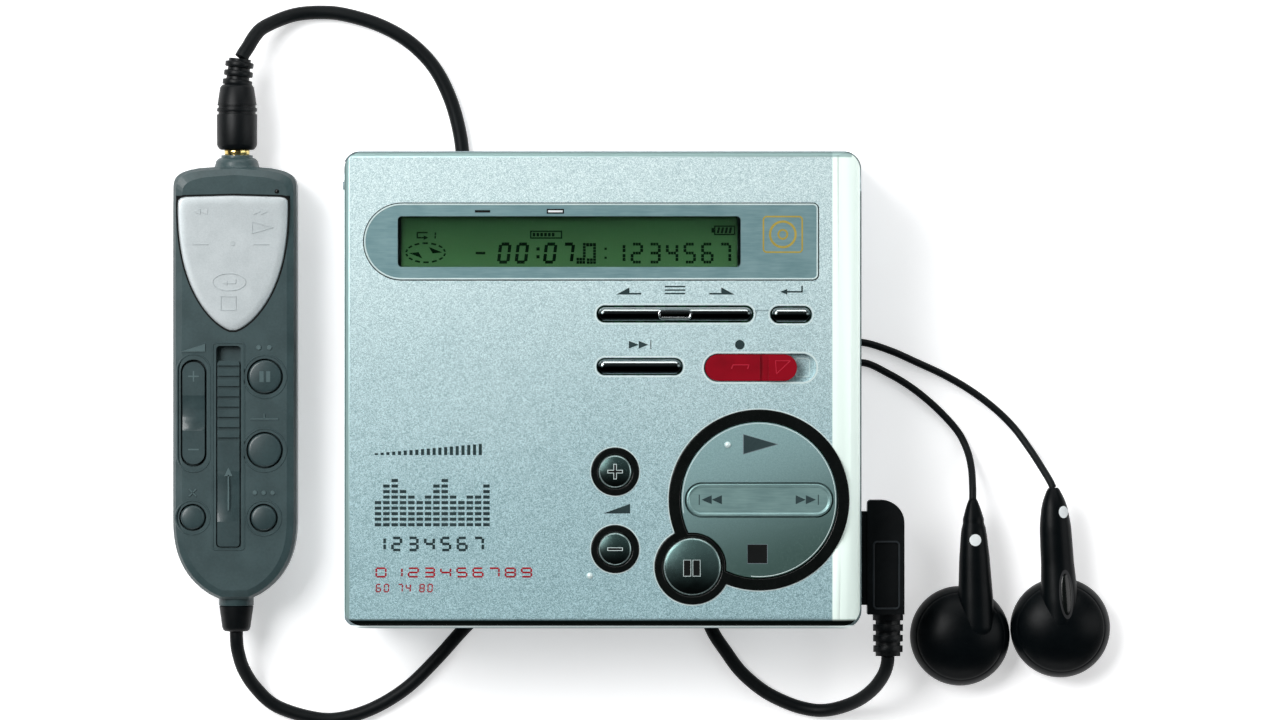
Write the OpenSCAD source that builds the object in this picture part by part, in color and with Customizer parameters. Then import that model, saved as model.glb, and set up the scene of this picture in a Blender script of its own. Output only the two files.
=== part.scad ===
// Portable disc player with a hinged lid, its wired remote control and its earphones.
// Millimetres. +Z is up and +Y is towards the lid's hinge. z = 0 is the table top, and the
// origin is on it, under the middle of the player.

/* [Player body] */
// Width of the player, left to right
case_w = 81; // [80.8:0.1:81.4]
// Depth of the player, front to rear
case_d = 74.4; // [74.2:0.1:74.8]
// Height of the lid's flat top above the table
lid_top = 27.2; // [27.1:0.1:27.4]
// Height of the case floor above the table, bridged by the battery bulge and the feet
floor_gap = 5.6; // [5.5:0.1:5.8]
// Wall of the case
wall = 1.2; // [1.1:0.1:1.3]
// Corner radius of the outline
corner_r = 2.8; // [2.4:0.1:3.2]
// Radius of the rolled right-hand edge of the lid
roll_r = 4.4; // [4.2:0.1:4.5]

/* [Display] */
// Left end of the display window
window_x0 = -31.9; // [-32.2:0.1:-31.6]
// Right end of the display window
window_x1 = 21.5; // [21:0.1:22]
// Front edge of the display window
window_y0 = 19.05; // [19:0.05:19.3]
// Rear edge of the display window
window_y1 = 26.9; // [26.7:0.05:27]
// Margin of the bezel around the window, front and rear
bezel_margin = 2; // [1.8:0.1:2.2]

/* [Controls] */
// Diameter of the round control pad
pad_d = 24.3; // [23.8:0.1:24.3]
// Width of the black ring around the pad
ring_w = 1.8; // [1.6:0.1:2]
// Diameter of the pause button
pause_d = 9; // [8.6:0.1:9]
// Diameter of the volume buttons
vol_d = 5.15; // [5:0.05:5.2]
// Length of the menu rocker
menu_len = 24; // [23.4:0.1:24]
// Length of the red record slider
rec_len = 14.3; // [14:0.1:14.4]
// How far the record slider travels
rec_travel = 2.8; // [2:0.1:2.8]

/* [Disc and battery] */
// Width of the disc cartridge that the holder takes
disc_w = 72; // [71.8:0.1:72.2]
// Thickness of the disc cartridge
disc_t = 5; // [4.8:0.1:5]
// Diameter of the round cell
cell_d = 14.5; // [14:0.1:14.6]
// Travel of the pickup, from the innermost to the outermost track
pickup_travel = 16.5; // [15:0.5:16.5]

/* [Remote] */
// Width of the remote
remote_w = 19.5; // [19.3:0.1:19.7]
// Height of the remote's face above the table
remote_top = 10.8; // [10.7:0.1:11]

/* [Cords] */
// Diameter of the remote's cord
remote_cord_d = 2.1; // [2:0.05:2.1]
// Diameter of the earphone cord before it splits
trunk_d = 2.2; // [2.1:0.05:2.2]
// Diameter of each cord after the split
branch_d = 1.15; // [1.1:0.05:1.2]

/* [Earphones] */
// Diameter of an earpiece
bud_d = 15.8; // [15.4:0.1:15.8]

/* [Hidden] */
$fn = 48;

cw = case_w / 2;
cd = case_d / 2;
rim_z = 21.6;                       // upper rim of the case
lip_left = 0.22;                    // how far the rim's lip stands out on the left
lip_front = 0.25;                   // and at the front
lid_z0 = 22;                        // lower edge of the lid
skin = 0.85;                        // wall of the lid
under_lid = lid_top - skin;         // underside of the lid's flat top
floor_z = floor_gap + 0.8;          // upper side of the case floor
hinge_y = 34;
hinge_z = 23.6;
pin_r = 0.8;
jack_z = 12;                        // height of the power jack and of the remote's
audio_jack_z = 13.2;                // height of the two audio jacks, clear above the remote

// Battery bay, inside
bay_x0 = -15.1;
bay_x1 = cw - wall - 0.85;
bay_y0 = 19.8;
bay_y1 = 35.4;
bay_z0 = 0.8;
bay_z1 = bay_z0 + cell_d + 0.4;
door_x0 = -14.7;
door_x1 = 37.9;
door_y = 36.4;
door_z = 14.8;

// Disc mechanism
spindle = [0, -1.2];
deck_z = 12;                        // underside of the mechanism's plate
rod_y = 10;                         // guide rods, to each side of the spindle
rod_z = 14.6;
sled_x0 = 11.3;
sled_x1 = 18.3;
screw_y = 12.6;
screw_z = 14.5;
holder_x = disc_w / 2 + 0.9;
holder_z0 = 16.5;
holder_z1 = holder_z0 + disc_t + 1.2;

// Controls on the lid
pad_at = [24.4, -17.3];
pause_at = [14, -27.7];
vol_up_at = [1.96, -12.87];
vol_down_at = [1.96, -24.95];
menu_at = [11.3, 11.7];
enter_at = [29.4, 11.6];
search_at = [5.8, 3.5];
rec_x0 = 15.8;                      // left end of the record slot
rec_x1 = 33.3;
rec_y = 3.33;
ring_top = lid_top + 0.25;

// Remote
remote_x = -58.1;
split_z = 6.4;                      // parting plane, and height of the plug and of the cord
shell_z0 = 2.6;                     // underside of the remote's body
tray_z = 9.2;                       // floor of the pockets in the remote's face
remote_plate_y = [9.1, 30.1];
rocker_x = -64.55;
rocker_y = -3.85;
slider_x = -59.05;
slider_y0 = -24.9;
slider_len = 29.3;
clip_y = 8;
clip_z = 1.6;

// Earpieces and the tips of their stems
bud_right = [72.45, -37.9];
bud_left = [56.55, -39.2];
tip_right = [71.2, -15.7];
tip_left = [58.5, -17.5];
heel_right = [72.6, -39.5];
heel_left = [59.15, -40.4];
stem_z = 5.6;
// Distance from the tip and radius, at each step of a stem
steps_right = [[0, 0.75], [0.4, 0.95], [1.8, 1.6], [3.4, 2.1], [6.1, 2.5], [12, 2.6], [22, 2.75]];
steps_left = [[0, 0.6], [1, 1.05], [3.4, 1.75], [5.7, 2.05], [9.3, 2.4], [12.9, 2.6], [21, 2.75]];

// Two layers of turns: mean radius 5.5 cord diameters, and half a millimetre between turns
layer_gap = 0.45;
turn_gap = 0.5;
coil_rings = 24;                    // rings to a turn
remote_coil_at = [0, -20];
remote_coil_start = 0;
remote_coil_turns = 4.5;
trunk_coil_at = [-22.5, 3];
trunk_coil_start = 60;
trunk_coil_turns = 4 - 30 / 360;

// Routes of the free stretches, chosen by hand
remote_coil_path = coil_path(remote_coil_at, remote_cord_d, remote_coil_start, remote_coil_turns, 1);
trunk_coil_path = coil_path(trunk_coil_at, trunk_d, trunk_coil_start, trunk_coil_turns, -1);

plug_end_route = concat([[44.9, -42.1, 12], [44.8, -43.4, 11.7], [44.2, -45.2, 10.6], [42.7, -47.4, 8.5],
    [40.4, -49.3, 5.8], [37.4, -50.6, 3.2], [34.5, -51.1, 1.7], [31.6, -50.7, 1.1],
    [28.7, -49.7, 1.1], [25.3, -47.9, 1.1], [21.9, -45, 1.1], [19.5, -41.8, 1.1],
    [17.2, -38.2, 1.1], [15.7, -33.5, 1.1], [14.8, -28.5, 1.1], [14.6, -24.3, 1.1]],
    [remote_coil_path[0]]);
free_route = concat([remote_coil_path[len(remote_coil_path) - 1]], [[-14.7, -24.6, 3.5],
    [-15.3, -28.5, 2.6], [-17, -32.2, 1.6], [-19.3, -35.4, 1.1], [-22.2, -38.2, 1.1],
    [-26.6, -43.1, 1.1], [-31.3, -47.6, 1.1], [-36.6, -50.8, 1.1], [-41.9, -52.4, 1.1],
    [-46.4, -52.2, 1.1], [-51.9, -50.4, 1.2], [-55.1, -47.5, 2.2], [-57, -44.4, 3.9],
    [-57.8, -41.5, 5.6], [-57.98, -39.7, 6.3], [-58, -38.4, 6.4]]);

upper_route = concat([[-57.2, 52.35, 6.4], [-56.8, 53.1, 6.2], [-56.2, 54, 5.9], [-55.3, 55.6, 5.1],
    [-54, 57.1, 4], [-51.3, 58.5, 2.6], [-48.5, 59.4, 1.7], [-45, 59.7, 1.2], [-41.3, 59.4, 1.15],
    [-35.8, 57.8, 1.15], [-30.9, 55.1, 1.15], [-27, 51.2, 1.15], [-24.4, 46.3, 1.15],
    [-22.8, 40.7, 1.15], [-22.1, 35, 1.15], [-21.7, 29.5, 1.15], [-21.3, 24.4, 1.15],
    [-20.2, 20.2, 1.15], [-18.6, 17.9, 1.15]], [trunk_coil_path[0]]);
tail_route = concat([trunk_coil_path[len(trunk_coil_path) - 1]], [[-17.7, 17.9, 3.8],
    [-14.5, 16.9, 3.4], [-11.9, 15.4, 2.5], [-9.8, 14.6, 1.8], [-7.53, 14.5, 1.7]]);

right_route = [[1.5, 15.4, 1.7], [4.4, 15.5, 1.2], [8.8, 15.3, 0.65], [13.2, 14.1, 0.65],
    [16.9, 11.4, 0.65], [19, 7.3, 0.65], [19.7, 2.7, 0.65], [20.2, -1.9, 0.65],
    [21.9, -6.1, 0.65], [25.4, -8.9, 0.65], [29.6, -8.2, 0.65], [32.3, -4.6, 0.65],
    [33.4, -0.2, 0.65], [34.6, 4, 0.65], [37.4, 7, 0.65], [41.2, 7.3, 0.65],
    [45.6, 6, 0.65], [49.9, 4.1, 0.65], [54, 2.2, 0.65], [58, -0.1, 0.65],
    [61.8, -2.9, 0.65], [65.1, -6.1, 0.8], [67.8, -9.8, 2.1], [69.6, -12.7, 4.1],
    [70.7, -14.6, 5.3], [71.2, -15.7, 5.6]];
left_route = [[1.5, 13.2, 1.7], [4.4, 13.1, 1.2], [8.6, 12.8, 0.65], [12.6, 11.5, 0.65],
    [15.5, 8.6, 0.65], [16.8, 4.4, 0.65], [17.2, -0.2, 0.65], [17.9, -4.9, 0.65],
    [20.1, -9.1, 0.65], [24, -11.9, 0.65], [28.7, -12, 0.65], [32.7, -9.6, 0.65],
    [35.2, -5.6, 0.65], [36.2, -1.3, 0.65], [37.8, 2.7, 0.65], [41.2, 4.1, 0.65],
    [45.4, 2.3, 0.65], [49.3, -0.1, 0.65], [53, -3.2, 0.65], [56.2, -6.7, 0.65],
    [57.7, -9.6, 1.3], [58.35, -12.4, 3.1], [58.5, -15.4, 5.1], [58.5, -17.5, 5.6]];

echo(remote_coil_least_gap = least_gap(remote_coil_path, remote_cord_d));
echo(trunk_coil_least_gap = least_gap(trunk_coil_path, trunk_d));
echo(remote_cord_length = path_length(plug_end_route) + path_length(remote_coil_path)
    + path_length(free_route));
echo(trunk_length = path_length(upper_route) + path_length(trunk_coil_path) + path_length(tail_route));
echo(branch_lengths = [path_length(right_route), path_length(left_route)]);

// Helpers

function unit(v) = v / norm(v);

function path_length(path) =
    len(path) < 2 ? 0 : [for (i = [1 : len(path) - 1]) norm(path[i] - path[i - 1])]
        * [for (i = [1 : len(path) - 1]) 1];

// Least distance between turns of a coil, less one diameter, over all pairs of its points
function least_gap(path, d) = min([for (i = [0 : len(path) - 1])
    for (j = [i + 17 : 1 : len(path) - 1]) norm(path[i] - path[j])]) - d;

// A point of a two-layer coil, t turns from its start: it spirals in below and out above
function coil_point(at, d, start, turns, way, t) =
    let (pitch = d + turn_gap,
        r = 5.5 * d + turns * pitch / 4 - pitch * min(t, turns - t),
        a = start + way * 360 * t,
        lift = min(1, max(0, (t - turns / 2) * 2 + 0.5)))
    [at.x + r * cos(a), at.y + r * sin(a), d / 2 + 0.05 + lift * (d + layer_gap)];

// The coil's points, with a straight end one diameter long at both ends
function coil_path(at, d, start, turns, way) =
    let (n = round(turns * coil_rings),
        p = [for (i = [0 : n]) coil_point(at, d, start, turns, way, turns * i / n)],
        e = 0.002,
        t0 = unit(coil_point(at, d, start, turns, way, e) - p[0]),
        t1 = unit(p[n] - coil_point(at, d, start, turns, way, turns - e)))
    concat([p[0] - d * t0], p, [p[n] + d * t1]);

// One closed tube along a path, with a ring of the given number of sides at every point
module tube(path, d, sides) {
    m = len(path);
    rings = [for (i = [0 : m - 1])
        let (t = unit(path[min(i + 1, m - 1)] - path[max(i - 1, 0)]),
            s = unit(cross(t, [0, 0, 1])),
            u = cross(s, t))
        for (k = [0 : sides - 1])
            path[i] + d / 2 * (s * cos(360 * (k + 0.5) / sides) + u * sin(360 * (k + 0.5) / sides))];
    walls = [for (i = [0 : m - 2], k = [0 : sides - 1])
        let (a = i * sides + k, b = i * sides + (k + 1) % sides)
        each [[a, b, b + sides], [a, b + sides, a + sides]]];
    caps = [for (k = [1 : sides - 2])
        each [[0, k + 1, k], [(m - 1) * sides, (m - 1) * sides + k, (m - 1) * sides + k + 1]]];
    polyhedron(points = rings, faces = concat(walls, caps));
}

module block(a, b) translate(a) cube(b - a);

module post(p, r, h) translate(p) cylinder(r = r, h = h);

module rod_along_x(p, r, h) translate(p) rotate([0, 90, 0]) cylinder(r = r, h = h);

module rod_along_y(p, r, h) translate(p) rotate([-90, 0, 0]) cylinder(r = r, h = h);

module soft_rect(x0, x1, y0, y1, r) {
    translate([x0 + r, y0]) square([x1 - x0 - 2 * r, y1 - y0]);
    translate([x0, y0 + r]) square([x1 - x0, y1 - y0 - 2 * r]);
    for (x = [x0 + r, x1 - r], y = [y0 + r, y1 - r]) translate([x, y]) circle(r = r);
}

module soft_key(at, size, r, z0, z1)
    translate([at.x, at.y, z0]) linear_extrude(z1 - z0)
        soft_rect(-size.x / 2, size.x / 2, -size.y / 2, size.y / 2, r);

// Flat outline with its two upper corners rounded, by ra on the left and rb on the right
module crown(x0, x1, z0, z1, ra, rb) {
    translate([x0 + ra, z0]) square([x1 - x0 - ra - rb, z1 - z0]);
    translate([x0, z0]) square([ra, z1 - z0 - ra]);
    translate([x1 - rb, z0]) square([rb, z1 - z0 - rb]);
    translate([x0 + ra, z1 - ra]) circle(r = ra);
    translate([x1 - rb, z1 - rb]) circle(r = rb);
}

// The lid's solid, drawn in by i all round
module lid_form(i, z0) {
    w = cw - 0.25 - i;
    d = cd - 0.25 - i;
    intersection() {
        translate([0, 0, z0]) linear_extrude(lid_top - i - z0)
            soft_rect(-w, w, -d, d, max(corner_r - i, 1));
        translate([0, cd + 1, 0]) rotate([90, 0, 0]) linear_extrude(case_d + 2)
            crown(-w, w, z0 - 1, lid_top - i, max(0.9 - i, 0.3), roll_r - i);
        translate([-cw - 1, 0, 0]) rotate([90, 0, 90]) linear_extrude(case_w + 2)
            crown(-d, d, z0 - 1, lid_top - i, max(1.4 - i, 0.4), max(0.9 - i, 0.3));
    }
}

// A block with rounded upright corners and rounded lower edges
module tub_form(x0, x1, y0, y1, z0, z1, edge) {
    intersection() {
        translate([0, 0, z0]) linear_extrude(z1 - z0) soft_rect(x0, x1, y0, y1, corner_r);
        translate([0, y1 + 1, 0]) rotate([90, 0, 0]) linear_extrude(y1 - y0 + 2)
            translate([0, z0 + z1]) mirror([0, 1]) crown(x0, x1, z0, z1, edge, edge);
        translate([x0 - 1, 0, 0]) rotate([90, 0, 90]) linear_extrude(x1 - x0 + 2)
            translate([0, z0 + z1]) mirror([0, 1]) crown(y0, y1, z0, z1, edge, edge);
    }
}

// Player: case, battery bay and hinge

deck_posts = [[-23, -11.5], [-23, 13.5], [34.5, -11.5], [34.5, 13.5]];
audio_jack_y = [-10, -24];
dc_jack_y = 26;
pin_jack_y = -22.5;

module lower_case() color([0.62, 0.70, 0.73]) difference() {
    union() {
        difference() {
            union() {
                tub_form(-cw, cw, -cd, cd, floor_gap, rim_z, 1.2);
                // Lip under the lid, outside the walls on the left and at the front
                translate([0, 0, rim_z - 1.3]) linear_extrude(1.3)
                    soft_rect(-cw - lip_left, cw, -cd - lip_front, cd, corner_r);
            }
            translate([0, 0, floor_z]) linear_extrude(20)
                soft_rect(-cw + wall, cw - wall, -cd + wall, cd - wall, corner_r - wall);
            // Concave run for the lid's rear edge
            rod_along_x([-cw - 1, hinge_y, hinge_z], 3.65, case_w + 2);
            // Hole in the floor, up to the right and rear walls, for the battery case
            case_block(0, 0, floor_z + 0.1);
        }
        for (p = deck_posts) post([p.x, p.y, floor_z - 0.1], 1.8, deck_z - floor_z + 0.1);
        for (x = [-34, 34], y = [-31, 15]) post([x, y, floor_z - 0.1], 1.2, 0.9);
        for (x = [-37, 27]) translate([x, -35, 0]) linear_extrude(floor_gap + 0.2)
            soft_rect(0, 10, 0, 6, 2.5);
        post([0, 0, 0], 3, floor_gap + 0.2);
        for (s = [0, 1]) mirror([s, 0, 0]) {
            block([36.2, 31.4, floor_z - 0.1], [38, 33.6, hinge_z]);
            block([37.9, 31.4, floor_z - 0.1], [cw - wall + 0.1, 33.6, 19.4]);
            rod_along_x([36.2, hinge_y, hinge_z], 1.6, 1.8);
        }
    }
    // The right-hand ear stops above the battery case
    block([36, 31, 0], [cw - wall, 34, bay_z1 + 0.6]);
    for (s = [0, 1]) mirror([s, 0, 0]) rod_along_x([36, hinge_y, hinge_z], pin_r, 2.2);
    battery_way();
    // Holes for the jacks, the hold switch and the latch
    for (y = audio_jack_y) rod_along_x([-cw - 1, y, audio_jack_z], 2.6, wall + 1.2);
    rod_along_x([-cw - 1, dc_jack_y, jack_z], 3.6, wall + 1.2);
    rod_along_x([cw - wall - 0.2, pin_jack_y, jack_z], 2.2, wall + 1.2);
    block([cw - wall - 0.2, -33, 10.2], [cw + 1, -26.6, 13.8]);
    block([-cw - 1, 3.5, 13.2], [-cw + wall + 0.1, 13, 16.8]);
    block([23.8, -cd - 1, 13.2], [36.2, -cd + wall + 0.1, 16.8]);
    // Counterbores for the screws
    for (x = [-32, 32]) post([x, -32, -1], 1.6, 2.6);
    for (s = [-1, 1], y = [-32.5, 8]) rod_along_x([s * (cw + 0.2) - 0.8, y, 17.9], 1.1, 1.6);
}

// Way in for the cell: its bay, the door's opening and the door's bearings
module battery_way() {
    block([bay_x0, bay_y0, bay_z0], [bay_x1, bay_y1, bay_z1]);
    block([door_x0 - 0.2, bay_y1 - 0.1, 1.1], [door_x1 + 0.2, cd + 1, 15.9]);
    rod_along_x([door_x0 - 1.3, door_y, door_z], 0.65, 2);
    rod_along_x([door_x1 - 0.7, door_y, door_z], 0.65, 2);
}

// Battery case above the player's floor, drawn in by g
module case_block(g, z0, z1) intersection() {
    block([bay_x0 - wall - 0.05 + g, bay_y0 - 1.45 + g, z0], [cw, cd, z1]);
    linear_extrude(z1)
        soft_rect(-cw + wall + g, cw - wall - g, -cd + wall + g, cd - wall - g, corner_r - wall - g);
}

module battery_case() color([0.62, 0.70, 0.73]) difference() {
    union() {
        tub_form(bay_x0 - wall, cw, bay_y0 - 1.4, cd, 0, floor_gap, 1.2);
        case_block(0.05, floor_gap - 1, bay_z1 + 0.5);
    }
    battery_way();
}

module battery_door() color([0.62, 0.70, 0.73]) {
    block([door_x0, 36.05, 1.3], [door_x1, cd, 15.3]);
    rod_along_x([door_x0 - 1.2, door_y, door_z], 0.6, 1.3);
    rod_along_x([door_x1 - 0.1, door_y, door_z], 0.6, 1.2);
}

module battery_contacts() color([0.85, 0.80, 0.62]) {
    block([bay_x0 + 0.05, 23.5, 4], [bay_x0 + 0.4, 31.7, 12]);
    rod_along_x([bay_x0 + 0.3, 27.6, 8.2], 2.4, 0.4);
    translate([bay_x1 - 0.05, 27.6, 8.2]) rotate([0, -90, 0]) cylinder(r1 = 3.8, r2 = 2.4, h = 2.2);
}

module hinge_pins() color([0.75, 0.76, 0.78])
    for (s = [0, 1]) mirror([s, 0, 0]) rod_along_x([33.9, hinge_y, hinge_z], pin_r, 5.1);

module screw_head(r, h) difference() {
    cylinder(r = r, h = h);
    for (a = [0, 90]) rotate(a) translate([-r * 0.6, -0.15, h - 0.3]) cube([r * 1.2, 0.3, 1]);
}

module case_screws() color([0.30, 0.31, 0.33]) {
    for (x = [-32, 32]) translate([x, -32, 1.6]) mirror([0, 0, 1]) screw_head(1.6, 1);
    for (s = [0, 1], y = [-32.5, 8]) mirror([s, 0, 0])
        translate([cw - 0.6, y, 17.9]) rotate([0, 90, 0]) screw_head(1.1, 0.5);
}

module open_latch() color([0.45, 0.50, 0.53]) {
    difference() {
        block([28.2, -cd + 0.15, 13.5], [35.9, -cd + wall + 0.3, 16.5]);
        for (x = [29.2 : 1 : 31.2]) block([x, -cd, 13], [x + 0.4, -cd + 0.45, 17]);
    }
    block([21, -cd + wall + 0.15, 12.3], [37.8, -cd + wall + 0.9, 17.7]);
    block([36.6, -cd + wall + 0.15, 12.3], [37.8, -cd + wall + 0.9, 22.4]);
}

module hold_switch() color([0.45, 0.50, 0.53]) {
    difference() {
        block([-cw + 0.15, 3.8, 13.5], [-cw + wall + 0.3, 9, 16.5]);
        for (y = [4.8 : 0.9 : 7.5]) block([-cw, y, 13], [-cw + 0.45, y + 0.4, 17]);
    }
    block([-cw + wall + 0.15, -0.2, 12.4], [-cw + wall + 0.9, 13.9, 17.6]);
}

module case_jacks() color([0.16, 0.17, 0.18]) {
    for (y = audio_jack_y) difference() {
        union() {
            block([-cw + wall + 0.05, y - 3.6, 8], [-27.2, y + 3.6, 16]);
            rod_along_x([-cw + 0.15, y, audio_jack_z], 2.55, 1.3);
        }
        rod_along_x([-cw, y, audio_jack_z], 1.8, 12.6);
    }
    difference() {
        union() {
            block([-cw + wall + 0.05, dc_jack_y - 4.4, floor_z], [-28, dc_jack_y + 4.4, 16.1]);
            rod_along_x([-cw + 0.15, dc_jack_y, jack_z], 3.55, 1.3);
        }
        rod_along_x([-cw, dc_jack_y, jack_z], 2.75, 10);
    }
    rod_along_x([-cw + 1.2, dc_jack_y, jack_z], 0.65, 9.2);
    // The remote's, with a keyed way beside its bore
    difference() {
        block([25.4, -34.2, 8], [cw - wall - 0.05, -18.6, 15.8]);
        rod_along_x([26.2, pin_jack_y, jack_z], 1.8, 20);
        block([35.4, -32.6, 10.4], [cw, -26.9, 13.6]);
    }
}

// Player: boards and disc mechanism

module main_board() color([0.10, 0.36, 0.22]) {
    difference() {
        block([-37.6, -34, 7.2], [37.6, 17, 8]);
        for (p = deck_posts) post([p.x, p.y, 7], 2.1, 2);
    }
    for (c = [[-14, -25, 12], [6, -26, 10], [16, -22, 6], [-16, 6, 9]])
        block([c[0] - c[2] / 2, c[1] - c[2] / 2, 8], [c[0] + c[2] / 2, c[1] + c[2] / 2, 9.1]);
    for (x = [-25 : 4 : -21]) post([x, -22, 8], 1.6, 3);
}

module mech_chassis() color([0.70, 0.71, 0.73]) difference() {
    union() {
        block([-26, -14, deck_z], [37.5, 16, deck_z + 0.6]);
        for (y = [-rod_y, rod_y]) {
            block([8.9, spindle.y + y - 1.4, deck_z + 0.5], [10.7, spindle.y + y + 1.4, 16]);
            block([35.6, spindle.y + y - 1.4, deck_z + 0.5], [37.4, spindle.y + y + 1.4, 16]);
        }
        block([35.6, screw_y - 1.3, deck_z + 0.5], [37.4, screw_y + 1.3, 16]);
    }
    for (y = [-rod_y, rod_y]) rod_along_x([8, spindle.y + y, rod_z], 0.8, 40);
    rod_along_x([35, screw_y, screw_z], 0.55, 2.2);
    post([spindle.x, spindle.y, 11], 2.3, 3);
    block([12, -8.5, 11], [34.5, 6, 14]);
    block([-22, -9, 11], [-13, 11, 14]);
}

module spindle_motor() color([0.55, 0.56, 0.58]) difference() {
    union() {
        post([spindle.x, spindle.y, 8.6], 9, deck_z - 8.6);
        post([spindle.x, spindle.y, deck_z - 0.1], 2.2, 1.2);
    }
    post([spindle.x, spindle.y, 9], 0.8, 6);
}

module turntable() color([0.20, 0.21, 0.23]) {
    post([spindle.x, spindle.y, 9.2], 0.75, 4.3);
    post([spindle.x, spindle.y, 13.3], 7.5, 2.4);
    post([spindle.x, spindle.y, 15.6], 3, 1);
    translate([spindle.x, spindle.y, 16.5]) cylinder(r1 = 3, r2 = 1.8, h = 1);
}

module guide_rods() color([0.80, 0.81, 0.83])
    for (y = [-rod_y, rod_y]) rod_along_x([8.9, spindle.y + y, rod_z], 0.8, 28.5);

module pickup_sled() color([0.35, 0.36, 0.38]) {
    difference() {
        union() {
            block([sled_x0, spindle.y - rod_y - 1.6, 13], [sled_x1, spindle.y + rod_y + 1.6, 15.8]);
            block([13, spindle.y + rod_y + 1.5, 13.6], [16.6, 11.4, 15.2]);
        }
        for (y = [-rod_y, rod_y]) rod_along_x([sled_x0 - 1, spindle.y + y, rod_z], 0.85, 10);
    }
    post([(sled_x0 + sled_x1) / 2, spindle.y, 15.7], 2.2, 0.5);
}

module lead_screw() color([0.72, 0.66, 0.45]) {
    rod_along_x([9.4, screw_y, screw_z], 0.9, 25.9);
    rod_along_x([4.5, screw_y, screw_z], 0.5, 32.4);
}

module sled_motor() color([0.60, 0.61, 0.63]) difference() {
    rod_along_x([-3, screw_y, screw_z], 1.9, 12);
    rod_along_x([4, screw_y, screw_z], 0.55, 6);
}

module disc_holder() color([0.78, 0.79, 0.80]) difference() {
    union() {
        difference() {
            block([-holder_x, -34.4, holder_z0], [holder_x, 33.4, holder_z1]);
            block([-holder_x + 0.6, -36, holder_z0 + 0.5], [holder_x - 0.6, 32.9, holder_z1 - 0.5]);
            // The rear corners pass in front of the case's ears
            for (s = [0, 1]) mirror([s, 0, 0]) block([35.9, 30.6, 16], [38, 34, 23]);
        }
        for (s = [0, 1]) mirror([s, 0, 0]) {
            block([34, 31.2, holder_z1 - 0.5], [35.6, 33.9, hinge_z]);
            rod_along_x([34, hinge_y, hinge_z], 1.5, 1.6);
            block([35.3, 30.4, holder_z0], [35.9, 33.4, holder_z1]);
        }
    }
    for (s = [0, 1]) mirror([s, 0, 0]) rod_along_x([33.8, hinge_y, hinge_z], 0.85, 2);
    // Windows for the turntable and the pickup, and lightening holes
    post([spindle.x, spindle.y, 16], 12, 1.1);
    block([0, -13.5, 16], [35.5, 11.4, 17.1]);
    block([-9, -9, 22], [34, 6.6, 23]);
    for (x = [-31, -18]) block([x, -28, 16], [x + 10, 26, 23]);
    for (y = [-28, 12]) block([-3, y, 16], [30, y + 13, 23]);
}

// Player: lid

module bezel_outline(g) {
    y0 = window_y0 - bezel_margin - g;
    y1 = window_y1 + bezel_margin + g;
    translate([-31.25, (y0 + y1) / 2]) circle(d = y1 - y0);
    soft_rect(-31.25, 33.6 + g, y0, y1, 0.8);
}

module window_outline(g) soft_rect(window_x0 - g, window_x1 + g, window_y0 - g, window_y1 + g, 0.65);

module pad_circle(r) translate(pad_at) circle(r = r);

module pause_circle(r) translate(pause_at) circle(r = r);

module lid_panel() color([0.68, 0.78, 0.81]) difference() {
    union() {
        difference() {
            lid_form(0, lid_z0);
            lid_form(skin, lid_z0 - 1);
        }
        block([rec_x0 - 1, rec_y - 3.1, 25.2], [rec_x1 + 1, rec_y + 3.1, under_lid + 0.1]);
        rod_along_x([38.3, hinge_y, hinge_z], 1.6, 1.3);
        rod_along_x([-39.6, hinge_y, hinge_z], 1.6, 1.3);
        // Round cheeks that fill the case's concave run from the side
        for (s = [0, 1]) mirror([s, 0, 0]) intersection() {
            rod_along_x([cw - 1.1, hinge_y, hinge_z], 2.9, skin);
            block([38, 30, 20], [42, 38, 22.5]);
            linear_extrude(23) soft_rect(0, cw - 0.25, 0, cd - 0.25, corner_r);
        }
    }
    rod_along_x([38.2, hinge_y, hinge_z], pin_r + 0.05, 1.1);
    rod_along_x([-39.3, hinge_y, hinge_z], pin_r + 0.05, 1.1);
    // Display
    translate([0, 0, lid_top - 0.45]) linear_extrude(2) bezel_outline(0.03);
    translate([0, 0, 24]) linear_extrude(6) window_outline(0.03);
    // Keys and switch
    soft_key(menu_at, [menu_len + 0.5, 2.7], 1.3, 24, 29);
    soft_key(enter_at, [6.5, 2.7], 1.3, 24, 29);
    soft_key(search_at, [13.5, 2.7], 1.3, 24, 29);
    soft_key([24.8, 11.6], [4, 1.4], 0.6, lid_top - 0.2, 29);
    soft_key([(rec_x0 + rec_x1) / 2, rec_y], [rec_x1 - rec_x0, 4.4], 2.19, 25.6, 29);
    for (p = [vol_up_at, vol_down_at]) post([p.x, p.y, 24], vol_d / 2 + 1.2, 5);
    translate([0, 0, 24]) linear_extrude(5) {
        pad_circle(pad_d / 2 + ring_w + 0.17);
        pause_circle(pause_d / 2 + 1.43);
    }
}

module lid_liner() color([0.55, 0.62, 0.65]) {
    translate([0, 0, 23]) linear_extrude(0.5) soft_rect(-39, 39, -35.7, 30.8, 1.5);
    for (p = [[-37, -33.5], [-37, 29], [34.4, -33.8], [34.6, 29]])
        post([p.x, p.y, 23.4], 1.1, under_lid - 23.4);
    for (x = [-30, 30], y = [-30, 13]) post([x, y, 23.4], 1, 0.9);
    for (x = [-28, 17]) post([x, 23, 23.4], 1.2, 0.6);
}

module key_board() color([0.10, 0.36, 0.22]) block([-34.5, -32, 24.3], [34.5, 15.5, 24.9]);

module lcd_panel() color([0.22, 0.36, 0.22]) block([-31.4, 18.4, 24], [21, 27.5, 25.85]);

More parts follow.
